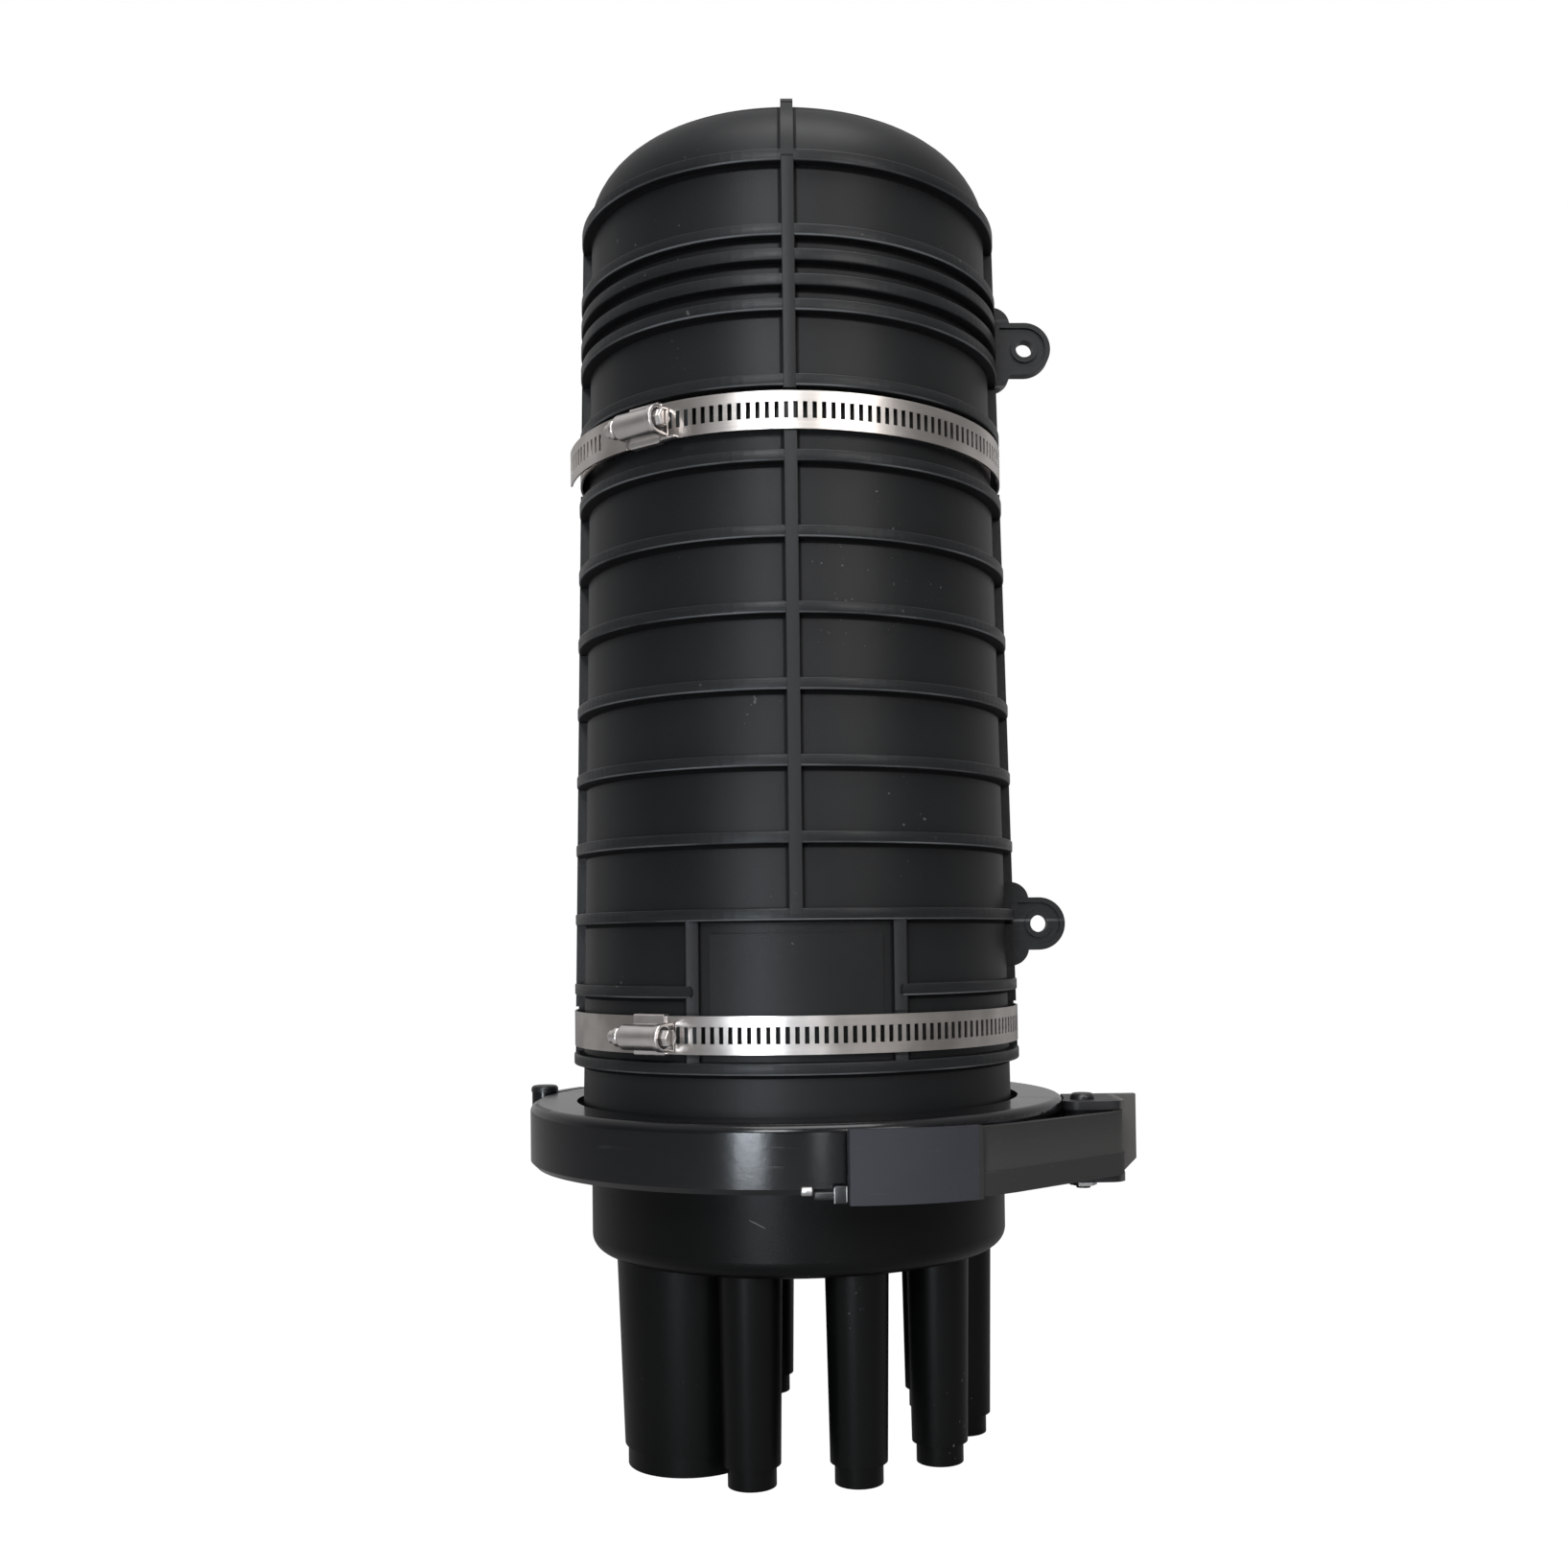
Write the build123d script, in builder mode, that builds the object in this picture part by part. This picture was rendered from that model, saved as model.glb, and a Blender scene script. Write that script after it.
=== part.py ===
from math import asin, atan2, cos, degrees, pi, radians, sin, sqrt
import os

from build123d import *

# A dome-type fibre splice closure, standing on the ends of its cable ports, in millimetres.
# The axis of the dome is Z and the origin is on it, in the plane of the port ends.

# Heights of the main parts above the plane of the port ends
SKIRT_BOTTOM = 71.5
RING_BOTTOM = 103.1
RING_HEIGHT = 22.6
JOINT_HEIGHT = 114.4
LOWEST_HOOP = 141.5
HOOP_PITCH = 25.3
HOOP_COUNT = 13

# Dome
HOOP_RADIUS = 82.6
DRAFT = 0.018
HOOP_PROUD = 3.4
HOOP_FOOT = 4.4
HOOP_CREST = 2.0
RIB_PROUD = 2.6
RIB_WIDTH = 4.2
DOME_WALL = 3.0
CROWN_RADIUS = 123.8
KNUCKLE_RADIUS = 28.0
CAP_STEP = 1.2
WINDOW_HALF_WIDTH = 34.5
WINDOW_PLATE_HALF_WIDTH = 28.5
WINDOW_PLATE_PROUD = 0.6
WINDOW_PLATE_HEIGHT = 40.0

# Lifting and hanging lugs on the right-hand rib
LUG_RADIUS = 9.9
LUG_FLARE = 5.8
LUG_THICKNESS = 5.0
LUG_WEB_THICKNESS = 3.0
LUG_RIM = 1.9
LUG_HOLE_RADIUS = 3.2
LUG_HOLES = {"lower": (91.4, 188.9), "upper": (89.2, 407.2)}

# Flanges, seal and clamp ring
FLANGE_REACH = 9.4
FLANGE_RADIUS = HOOP_RADIUS + FLANGE_REACH
FLANGE_THICKNESS = 6.1
RING_WALL = 6.8
RING_RADIUS = FLANGE_RADIUS + RING_WALL
RING_TOP_FILLET = 3.2
RING_CHAMFER = 2.0
RING_LAP = 10.0
RING_MOUTH_RADIUS = FLANGE_RADIUS - RING_LAP
SEAL_INSET = 7.0
SEAL_RADIUS = FLANGE_RADIUS - SEAL_INSET
SEAL_SECTION = 2.4
SEAL_SQUASH = 0.3
CLEARANCE = 0.3
RUNNING = 0.05

# Base and cable ports
SKIRT_RADIUS = 76.7
SKIRT_WALL = 3.5
SKIRT_CORNER = 6.0
BASE_FLOOR = 4.0
PORT_CIRCLE = 60.5
PORT_COUNT = 7
PORT_PITCH = 34.8
PORT_TURN = -1.9
PORT_ROOT_RADIUS = 10.95
PORT_TIP_RADIUS = 9.85
PORT_BORE = 7.0
PORT_ROOT_RISE = 2.5
NUB_RADIUS = 8.3
NUB_LENGTH = 7.2
NUB_FLOOR = 2.0
OVAL_CENTRE = -39.3
OVAL_WIDTH = 51.4
OVAL_LENGTH = 107.6
OVAL_TAPER = 2.3
OVAL_NUB_INSET = 3.4
OVAL_WALL = 3.0

# Ring hinge at the back left, and the latch at the front right
HINGE_STAND_OFF = 0.7
HINGE_X = -RING_RADIUS - HINGE_STAND_OFF
HINGE_Y = 31.0
HINGE_PIN_RADIUS = 2.5
HINGE_KNUCKLE = 4.9
HINGE_HEAD_RADIUS = 5.2
HINGE_LEAF = 2.4
SPLIT_GAP = 0.5
PIVOT_STAND_OFF = 4.8
PIVOT_X = RING_RADIUS + PIVOT_STAND_OFF
PIVOT_Y = -20.0
CRANK = 5.0
CRANK_ANGLE = 80.0
PEG_ANGLE = -33.0
RELIEF_ANGLE = -22.0
RELIEF_CUT = 3.4
RELIEF_DEPTH = RING_RADIUS - RELIEF_CUT
EAR_THICKNESS = 3.0
PIVOT_PIN_RADIUS = 2.6
PIVOT_HEAD_RADIUS = 4.4
PIVOT_HEAD_HEIGHT = 2.2
HUB_RADIUS = 7.2
CRANK_PIN_RADIUS = 1.6
LINK_THICKNESS = 2.2
LINK_HEIGHT = 10.0
LINK_EYE_RADIUS = 3.0
PEG_WIDTH = 4.0
PEG_HEIGHT = 4.4
PEG_STAND_OFF = 4.2
PEG_TOP_RADIUS = RING_RADIUS + PEG_STAND_OFF
PEG_PLAY = 1.2
BACK_PLATE_RUN = 22.9
BACK_PLATE_REACH = PIVOT_X + BACK_PLATE_RUN
BACK_PLATE_Y = -4.4
BACK_PLATE_THICKNESS = 4.0
BACK_PLATE_BOTTOM = 91.9
BACK_PLATE_CHAMFER = 8.8

# Lever
LEVER_TOP = 121.3
LEVER_BOTTOM = 98.9
LEVER_THICKNESS = 3.0
LEVER_STAND_OFF = 3.6
LEVER_ARC_RADIUS = RING_RADIUS + LEVER_STAND_OFF
LEVER_TIP_ANGLE = -81.3
LEVER_STEP_ANGLE = -55.5
LEVER_BEND_ANGLE = -44.0
LEVER_TAIL_RUN = 11.3
LEVER_TAIL_X = PIVOT_X + LEVER_TAIL_RUN
LEVER_TAIL_Y = -21.0
LEVER_TAIL_BEND = 13.0
GRIP_PLATE = 1.4
CREASE_HEIGHT = 8.0
CREASE_PROUD = 0.5
TAB_WIDTH = 7.0
TAB_THICKNESS = 1.5
TAB_ROOT = 6.0
TAB_REACH = 5.0
TAB_LIP = 4.0
TAB_GAP_ANGLE = 3.4
LINK_STAND_OFF = 4.8
LINK_END = 4.0
LINK_RISE = 2.0

# Worm-drive clamps round the dome
BAND_WIDTH = 12.7
BAND_THICKNESS = 0.7
BAND_HEIGHTS = {"lower": 152.6, "upper": 359.0}
HOUSING_ANGLES = {"lower": -125.5, "upper": -127.5}
SLOT_PITCH = 3.17
SLOT_LENGTH = 5.6
SLOT_WIDTH = 1.5
SLOT_START = {"lower": -112.0, "upper": -114.0}
SLOT_END = 4.0
BAND_SEAT = 0.16
TAIL_LEAD = 8.0
TAIL_END = -172.0
TAIL_LIFT = 3.2
HOUSING_LENGTH = 19.0
HOUSING_WALL = 1.0
WORM_RADIUS = 3.6
WORM_AXIS = 5.0
SCREW_HEAD_RADIUS = 3.9
SCREW_HEAD_LENGTH = 4.4
SCREW_COLLAR_RADIUS = 4.7
SCREW_COLLAR = 1.2
HOUSING_SHOULDER = 6.0
SCREW_SLOT = 1.1

# Splice carrier inside the dome
TRAY_WIDTH = 100.0
TRAY_LENGTH = 228.0
TRAY_DEPTH = 7.8
TRAY_WALL = 1.6
TRAY_CORNER = 12.0
TRAY_PITCH = 8.4
TRAY_COUNT = 6
TRAY_BOTTOM = 178.0
TRAY_SEAT = 7.0
TRAY_FRONT = -34.0
TRAY_PIN_RADIUS = 1.2
SPOOL_RADIUS = 18.0
SPOOL_SPREAD = 68.0
COMB_PITCH = 9.0
COMB_COUNT = 6
COMB_LENGTH = 48.0
SEAT_WIDTH = 46.0
SEAT_WALL = 3.0
SEAT_HEIGHT = 6.0
CARRIER_PLATE = 2.5
CARRIER_WIDTH = 90.0
CARRIER_TOP = 405.0
FOOT_CENTRE = 12.0
FOOT_SIZE = 46.0
FOOT_SCREW = 17.0
FOOT_HOLE = 2.2
NECK_WIDTH = 26.0
NECK_DEPTH = 18.0
BASKET_DEPTH = 12.0
BASKET_HEIGHT = 150.0
ANCHOR_COUNT = 4
ANCHOR_SIZE = 9.0
ANCHOR_FIRST = 12.0
ANCHOR_PITCH = 20.0
STRAP_THICKNESS = 1.0
STRAP_WIDTH = 14.0
STRAP_LEVEL = 330.0


def hoop_radius(height):
    return HOOP_RADIUS - DRAFT * (height - LOWEST_HOOP)


def wall_radius(height):
    return hoop_radius(height) - HOOP_PROUD


def rib_radius(height):
    return wall_radius(height) + RIB_PROUD


def polar(radius, angle):
    return (radius * cos(radians(angle)), radius * sin(radians(angle)))


def radial_plane(angle):
    # Local x runs outwards from the axis and local y runs up
    a = radians(angle)
    return Plane(origin=(0, 0, 0), x_dir=(cos(a), sin(a), 0), z_dir=(sin(a), -cos(a), 0))


def tangent_plane(radius, angle, height):
    # Local z points away from the axis, local x runs round it and local y runs up
    a = radians(angle)
    x, y = polar(radius, angle)
    return Plane(origin=(x, y, height), x_dir=(-sin(a), cos(a), 0), z_dir=(cos(a), sin(a), 0))


def save(part, name):
    part.label = name
    export_step(part, f"parts/{name}.step")


os.makedirs("parts", exist_ok=True)
RING_TOP = RING_BOTTOM + RING_HEIGHT
TOP_HOOP = LOWEST_HOOP + (HOOP_COUNT - 1) * HOOP_PITCH
THIRD_HOOP = TOP_HOOP - HOOP_PITCH
HOOP_HEIGHTS = [LOWEST_HOOP + index * HOOP_PITCH for index in range(HOOP_COUNT)]
EXTRA_HOOPS = [THIRD_HOOP - HOOP_PITCH / 3, THIRD_HOOP - 2 * HOOP_PITCH / 3]
OPEN_HOOP = LOWEST_HOOP + HOOP_PITCH
SHOULDER = TOP_HOOP
SHOULDER_RADIUS = wall_radius(SHOULDER) + CAP_STEP

# Where the knuckle meets the crown, with the knuckle upright at the shoulder
KNUCKLE_CENTRE = SHOULDER_RADIUS - KNUCKLE_RADIUS
CROWN_TO_KNUCKLE = CROWN_RADIUS - KNUCKLE_RADIUS
CROWN_CENTRE = SHOULDER - sqrt(CROWN_TO_KNUCKLE**2 - KNUCKLE_CENTRE**2)
CROWN_TILT = asin(KNUCKLE_CENTRE / CROWN_TO_KNUCKLE)


def cap_outline(offset):
    # The shoulder, knuckle and crown of the cap, moved outwards by an offset, up to the axis
    crown = CROWN_RADIUS + offset
    knuckle = KNUCKLE_RADIUS + offset
    start = (SHOULDER_RADIUS + offset, SHOULDER)
    middle_angle = (pi / 2 - CROWN_TILT) / 2
    middle = (KNUCKLE_CENTRE + knuckle * cos(middle_angle), SHOULDER + knuckle * sin(middle_angle))
    meet = (crown * sin(CROWN_TILT), CROWN_CENTRE + crown * cos(CROWN_TILT))
    over = (crown * sin(CROWN_TILT / 2), CROWN_CENTRE + crown * cos(CROWN_TILT / 2))
    return start, middle, meet, over, (0, CROWN_CENTRE + crown)


def add_cap(offset):
    start, middle, meet, over, top = cap_outline(offset)
    ThreePointArc(start, middle, meet)
    ThreePointArc(meet, over, top)
    return start, top


def hoop_section(height):
    # A moulded hoop: a broad foot in the wall and a narrower crest
    foot = wall_radius(height) - 1
    crest = hoop_radius(height)
    Polyline(
        (foot, height - HOOP_FOOT / 2),
        (wall_radius(height), height - HOOP_FOOT / 2),
        (crest, height - HOOP_CREST / 2),
        (crest, height + HOOP_CREST / 2),
        (wall_radius(height), height + HOOP_FOOT / 2),
        (foot, height + HOOP_FOOT / 2),
        close=True,
    )


# Dome cover: a deep moulded cap with hoops and ribs
FLANGE_BOTTOM = JOINT_HEIGHT + CLEARANCE / 2
FLANGE_TOP = FLANGE_BOTTOM + FLANGE_THICKNESS
WINDOW_ANGLE = degrees(asin(WINDOW_HALF_WIDTH / rib_radius(LOWEST_HOOP)))
PLATE_ANGLE = degrees(asin(WINDOW_PLATE_HALF_WIDTH / wall_radius(LOWEST_HOOP)))
FRONT = -90.0
with BuildPart() as dome_cover:
    with BuildSketch(Plane.XZ):
        with BuildLine():
            start, top = add_cap(0)
            foot = (wall_radius(FLANGE_BOTTOM), FLANGE_BOTTOM)
            Polyline(top, (0, FLANGE_BOTTOM), foot)
            Polyline(foot, (wall_radius(SHOULDER - RIB_PROUD), SHOULDER - RIB_PROUD), start)
        make_face()
    revolve(axis=Axis.Z)
    for height in HOOP_HEIGHTS + EXTRA_HOOPS:
        if height != OPEN_HOOP:
            with BuildSketch(Plane.XZ):
                with BuildLine():
                    hoop_section(height)
                make_face()
            revolve(axis=Axis.Z)
    with BuildSketch(radial_plane(FRONT + WINDOW_ANGLE)):
        with BuildLine():
            hoop_section(OPEN_HOOP)
        make_face()
    revolve(axis=Axis.Z, revolution_arc=360 - 2 * WINDOW_ANGLE)
    # The rib that runs up the back, over the top and down the front to the window
    with BuildSketch(Plane.YZ):
        with BuildLine():
            start, top = add_cap(RIB_PROUD)
            low = (rib_radius(LOWEST_HOOP), LOWEST_HOOP)
            high = (rib_radius(SHOULDER - HOOP_FOOT), SHOULDER - HOOP_FOOT)
            Polyline(top, (0, LOWEST_HOOP), low, high, start)
        make_face()
    extrude(amount=RIB_WIDTH / 2, both=True)
    with BuildSketch(Plane.YZ):
        window_top = LOWEST_HOOP + 2 * HOOP_PITCH
        with BuildLine():
            start, top = add_cap(RIB_PROUD)
            low = (rib_radius(window_top), window_top)
            high = (rib_radius(SHOULDER - HOOP_FOOT), SHOULDER - HOOP_FOOT)
            Polyline(top, (0, window_top), low, high, start)
        make_face()
        mirror(about=Plane.YZ, mode=Mode.REPLACE)
    extrude(amount=RIB_WIDTH / 2, both=True)
    for angle in (0, 180):
        with BuildSketch(radial_plane(angle)):
            with BuildLine():
                Polyline(
                    (wall_radius(SHOULDER) - DOME_WALL / 2, LOWEST_HOOP),
                    (rib_radius(LOWEST_HOOP), LOWEST_HOOP),
                    (rib_radius(SHOULDER), SHOULDER),
                    (wall_radius(SHOULDER) - DOME_WALL / 2, SHOULDER),
                    close=True,
                )
            make_face()
        extrude(amount=RIB_WIDTH / 2, both=True)
    for side in (-1, 1):
        with BuildSketch(Plane.YZ.offset(side * WINDOW_HALF_WIDTH)):
            deep = sqrt(wall_radius(window_top) ** 2 - WINDOW_HALF_WIDTH**2) - DOME_WALL / 2
            corner = WINDOW_HALF_WIDTH + RIB_WIDTH / 2
            with BuildLine():
                Polyline(
                    (-deep, LOWEST_HOOP),
                    (-sqrt(rib_radius(LOWEST_HOOP) ** 2 - corner**2), LOWEST_HOOP),
                    (-sqrt(rib_radius(window_top) ** 2 - corner**2), window_top),
                    (-deep, window_top),
                    close=True,
                )
            make_face()
        extrude(amount=RIB_WIDTH / 2, both=True)
    plate_low = LOWEST_HOOP + HOOP_FOOT
    with BuildSketch(radial_plane(FRONT - PLATE_ANGLE)):
        with BuildLine():
            Polyline(
                (wall_radius(plate_low) - 1, plate_low),
                (wall_radius(plate_low) + WINDOW_PLATE_PROUD, plate_low),
                (wall_radius(plate_low) + WINDOW_PLATE_PROUD, plate_low + WINDOW_PLATE_HEIGHT),
                (wall_radius(plate_low) - 1, plate_low + WINDOW_PLATE_HEIGHT),
                close=True,
            )
        make_face()
    revolve(axis=Axis.Z, revolution_arc=2 * PLATE_ANGLE)
    # The hollow inside
    with BuildSketch(Plane.XZ):
        with BuildLine():
            start, top = add_cap(-DOME_WALL - CAP_STEP)
            foot = (wall_radius(FLANGE_BOTTOM) - DOME_WALL, FLANGE_BOTTOM)
            Polyline(top, (0, FLANGE_BOTTOM), foot, start)
        make_face()
    revolve(axis=Axis.Z, mode=Mode.SUBTRACT)
save(dome_cover.part, "dome_cover")

# Flange round the foot of the dome
with BuildPart() as dome_flange:
    with BuildSketch(Plane.XZ):
        with BuildLine():
            Polyline(
                (wall_radius(FLANGE_BOTTOM), FLANGE_BOTTOM),
                (FLANGE_RADIUS, FLANGE_BOTTOM),
                (FLANGE_RADIUS, FLANGE_TOP),
                (wall_radius(FLANGE_TOP), FLANGE_TOP),
                close=True,
            )
        make_face()
    revolve(axis=Axis.Z)
save(dome_flange.part, "dome_flange")

# Lugs on the dome: a web with a raised rim, and a boss round the hole
with BuildPart() as dome_lugs:
    for hole, height in LUG_HOLES.values():
        root = wall_radius(height) - DOME_WALL / 2
        neck = wall_radius(height) + HOOP_PROUD
        waist = neck + LUG_FLARE
        low = height - LUG_RADIUS
        high = height + LUG_RADIUS
        with BuildSketch(Plane.XZ):
            with BuildLine():
                Polyline((root, high + LUG_FLARE), (root, low - LUG_FLARE), (neck, low - LUG_FLARE))
                RadiusArc((neck, low - LUG_FLARE), (waist, low), -LUG_FLARE * 1.2)
                Line((waist, low), (hole, low))
                ThreePointArc((hole, low), (hole + LUG_RADIUS, height), (hole, high))
                Line((hole, high), (waist, high))
                RadiusArc((waist, high), (neck, high + LUG_FLARE), -LUG_FLARE * 1.2)
                Line((neck, high + LUG_FLARE), (root, high + LUG_FLARE))
            make_face()
        extrude(amount=LUG_THICKNESS / 2, both=True)
        for side in (-1, 1):
            face = Plane(
                origin=(0, side * LUG_WEB_THICKNESS / 2, 0), x_dir=(1, 0, 0), z_dir=(0, side, 0)
            )
            with BuildSketch(face):
                with Locations((hole, -side * height)):
                    Circle(LUG_RADIUS - LUG_RIM)
                with Locations((hole, -side * height)):
                    Rectangle(
                        hole - neck - LUG_RIM,
                        2 * LUG_RADIUS - 2 * LUG_RIM,
                        align=(Align.MAX, Align.CENTER),
                    )
                with Locations((hole, -side * height)):
                    Circle(LUG_HOLE_RADIUS + LUG_RIM, mode=Mode.SUBTRACT)
            extrude(amount=LUG_THICKNESS, mode=Mode.SUBTRACT)
        with BuildSketch(Plane.XZ):
            with Locations((hole, height)):
                Circle(LUG_HOLE_RADIUS)
        extrude(amount=LUG_THICKNESS, both=True, mode=Mode.SUBTRACT)
    add(dome_cover.part, mode=Mode.SUBTRACT)
save(dome_lugs.part, "dome_lugs")



def port_angles():
    first = -(PORT_COUNT - 1) / 2
    return [PORT_TURN + (first + index) * PORT_PITCH for index in range(PORT_COUNT)]


# Base: a cup with a floor that the cable ports open through
BASE_FLANGE_TOP = JOINT_HEIGHT - CLEARANCE / 2
BASE_FLANGE_BOTTOM = BASE_FLANGE_TOP - FLANGE_THICKNESS
FLOOR_TOP = SKIRT_BOTTOM + BASE_FLOOR
GROOVE_HALF_WIDTH = SEAL_SECTION + CLEARANCE
SEAL_HEIGHT = BASE_FLANGE_TOP - SEAL_SECTION - SEAL_SQUASH / 2
GROOVE_BOTTOM = SEAL_HEIGHT - SEAL_SECTION - SEAL_SQUASH / 2
PORT_SPOTS = [polar(PORT_CIRCLE, angle) for angle in port_angles()]
OVAL_SPOT = (OVAL_CENTRE, 0)
OVAL_MOUTH = (OVAL_LENGTH - 4 * OVAL_WALL, OVAL_WIDTH - 4 * OVAL_WALL)
with BuildPart() as base_body:
    with BuildSketch(Plane.XZ):
        with BuildLine():
            RadiusArc(
                (SKIRT_RADIUS - SKIRT_CORNER, SKIRT_BOTTOM),
                (SKIRT_RADIUS, SKIRT_BOTTOM + SKIRT_CORNER),
                -SKIRT_CORNER,
            )
            Polyline(
                (SKIRT_RADIUS, SKIRT_BOTTOM + SKIRT_CORNER),
                (SKIRT_RADIUS, BASE_FLANGE_TOP),
                (SKIRT_RADIUS - SKIRT_WALL, BASE_FLANGE_TOP),
                (SKIRT_RADIUS - SKIRT_WALL, FLOOR_TOP),
                (0, FLOOR_TOP),
                (0, SKIRT_BOTTOM),
                (SKIRT_RADIUS - SKIRT_CORNER, SKIRT_BOTTOM),
            )
        make_face()
    revolve(axis=Axis.Z)
    with BuildSketch(Plane.XY.offset(SKIRT_BOTTOM)):
        with Locations(*PORT_SPOTS):
            Circle(PORT_BORE)
        with Locations(OVAL_SPOT):
            SlotOverall(*OVAL_MOUTH, rotation=90)
    extrude(amount=BASE_FLOOR, mode=Mode.SUBTRACT)
save(base_body.part, "base_body")

# Flange round the rim of the base, with a groove for the seal
with BuildPart() as base_flange:
    with BuildSketch(Plane.XY.offset(BASE_FLANGE_BOTTOM)):
        Circle(FLANGE_RADIUS)
        Circle(SKIRT_RADIUS, mode=Mode.SUBTRACT)
    extrude(amount=FLANGE_THICKNESS)
    with BuildSketch(Plane.XY.offset(GROOVE_BOTTOM)):
        Circle(SEAL_RADIUS + GROOVE_HALF_WIDTH)
        Circle(SEAL_RADIUS - GROOVE_HALF_WIDTH, mode=Mode.SUBTRACT)
    extrude(until=Until.LAST, mode=Mode.SUBTRACT)
save(base_flange.part, "base_flange")

# Round cable ports: tapered tubes with closed ends that are sawn off to take a cable
with BuildPart() as round_ports:
    for spot in PORT_SPOTS:
        with BuildSketch(Plane.XY.offset(SKIRT_BOTTOM + PORT_ROOT_RISE)):
            with Locations(spot):
                Circle(PORT_ROOT_RADIUS)
        with BuildSketch(Plane.XY.offset(NUB_LENGTH)):
            with Locations(spot):
                Circle(PORT_TIP_RADIUS)
        loft()
        with BuildSketch():
            with Locations(spot):
                Circle(NUB_RADIUS)
        extrude(amount=NUB_LENGTH)
        with BuildSketch(Plane.XY.offset(NUB_FLOOR)):
            with Locations(spot):
                Circle(PORT_BORE)
        extrude(amount=FLOOR_TOP - NUB_FLOOR, mode=Mode.SUBTRACT)
    add(base_body.part, mode=Mode.SUBTRACT)
save(round_ports.part, "round_ports")

# Oval port, for a cable that passes through uncut
with BuildPart() as oval_port:
    with BuildSketch(Plane.XY.offset(SKIRT_BOTTOM + PORT_ROOT_RISE)):
        with Locations(OVAL_SPOT):
            SlotOverall(OVAL_LENGTH, OVAL_WIDTH, rotation=90)
    with BuildSketch(Plane.XY.offset(NUB_LENGTH)):
        with Locations(OVAL_SPOT):
            SlotOverall(OVAL_LENGTH - 2 * OVAL_TAPER, OVAL_WIDTH - 2 * OVAL_TAPER, rotation=90)
    loft()
    with BuildSketch():
        with Locations(OVAL_SPOT):
            SlotOverall(
                OVAL_LENGTH - 2 * OVAL_NUB_INSET, OVAL_WIDTH - 2 * OVAL_NUB_INSET, rotation=90
            )
    extrude(amount=NUB_LENGTH)
    with BuildSketch(Plane.XY.offset(NUB_FLOOR)):
        with Locations(OVAL_SPOT):
            SlotOverall(*OVAL_MOUTH, rotation=90)
    extrude(amount=FLOOR_TOP - NUB_FLOOR, mode=Mode.SUBTRACT)
    add(base_body.part, mode=Mode.SUBTRACT)
save(oval_port.part, "oval_port")

# O-ring seal in the groove of the base flange
with BuildPart() as seal_ring:
    with BuildSketch(Plane.XZ):
        with Locations((SEAL_RADIUS, SEAL_HEIGHT)):
            Circle(SEAL_SECTION)
    revolve(axis=Axis.Z)
save(seal_ring.part, "seal_ring")

# Clamp ring: a channel that draws the two flanges together, in two halves
CAVITY_RADIUS = FLANGE_RADIUS + CLEARANCE
LOWER_MOUTH = SKIRT_RADIUS + 2 * CLEARANCE
CAVITY_TOP = FLANGE_TOP + CLEARANCE
CAVITY_BOTTOM = BASE_FLANGE_BOTTOM - CLEARANCE
HINGE_ANGLE = degrees(atan2(HINGE_Y, HINGE_X))
LATCH_ANGLE = -15.5
HALF_GAP_ANGLE = degrees(SPLIT_GAP / 2 / RING_RADIUS)
FRONT_ARC = 360 + LATCH_ANGLE - HINGE_ANGLE - 2 * HALF_GAP_ANGLE
REAR_ARC = HINGE_ANGLE - LATCH_ANGLE - 2 * HALF_GAP_ANGLE


def ring_outline():
    Polyline(
        (RING_MOUTH_RADIUS, RING_TOP),
        (RING_MOUTH_RADIUS, CAVITY_TOP),
        (CAVITY_RADIUS, CAVITY_TOP),
        (CAVITY_RADIUS, CAVITY_BOTTOM),
        (LOWER_MOUTH, CAVITY_BOTTOM),
        (LOWER_MOUTH, RING_BOTTOM),
        (RING_RADIUS - RING_CHAMFER, RING_BOTTOM),
        (RING_RADIUS, RING_BOTTOM + RING_CHAMFER),
        (RING_RADIUS, RING_TOP - RING_TOP_FILLET),
    )
    RadiusArc(
        (RING_RADIUS, RING_TOP - RING_TOP_FILLET),
        (RING_RADIUS - RING_TOP_FILLET, RING_TOP),
        -RING_TOP_FILLET,
    )
    Line((RING_RADIUS - RING_TOP_FILLET, RING_TOP), (RING_MOUTH_RADIUS, RING_TOP))


# The flat that the latch works over, cut in both halves below the upper lip
RELIEF_TOP = LEVER_TOP + CLEARANCE
RELIEF_BOTTOM = RING_BOTTOM
RELIEF_WIDTH = 2 * sqrt(RING_RADIUS**2 - RELIEF_DEPTH**2) + 1


with BuildPart() as latch_relief:
    with BuildSketch(tangent_plane(RELIEF_DEPTH, RELIEF_ANGLE, (RELIEF_TOP + RELIEF_BOTTOM) / 2)):
        Rectangle(RELIEF_WIDTH, RELIEF_TOP - RELIEF_BOTTOM)
    extrude(amount=RING_RADIUS - RELIEF_DEPTH + 1)


# Hinge: three knuckles on one upright pin, the middle one on the front half
KNUCKLE_GAP = CLEARANCE
KNUCKLE_HEIGHT = (RING_HEIGHT - 2 * KNUCKLE_GAP) / 3
KNUCKLES = {
    "low": RING_BOTTOM,
    "middle": RING_BOTTOM + KNUCKLE_HEIGHT + KNUCKLE_GAP,
    "high": RING_BOTTOM + 2 * (KNUCKLE_HEIGHT + KNUCKLE_GAP),
}
LEAF_ANGLE = 12.0


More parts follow.
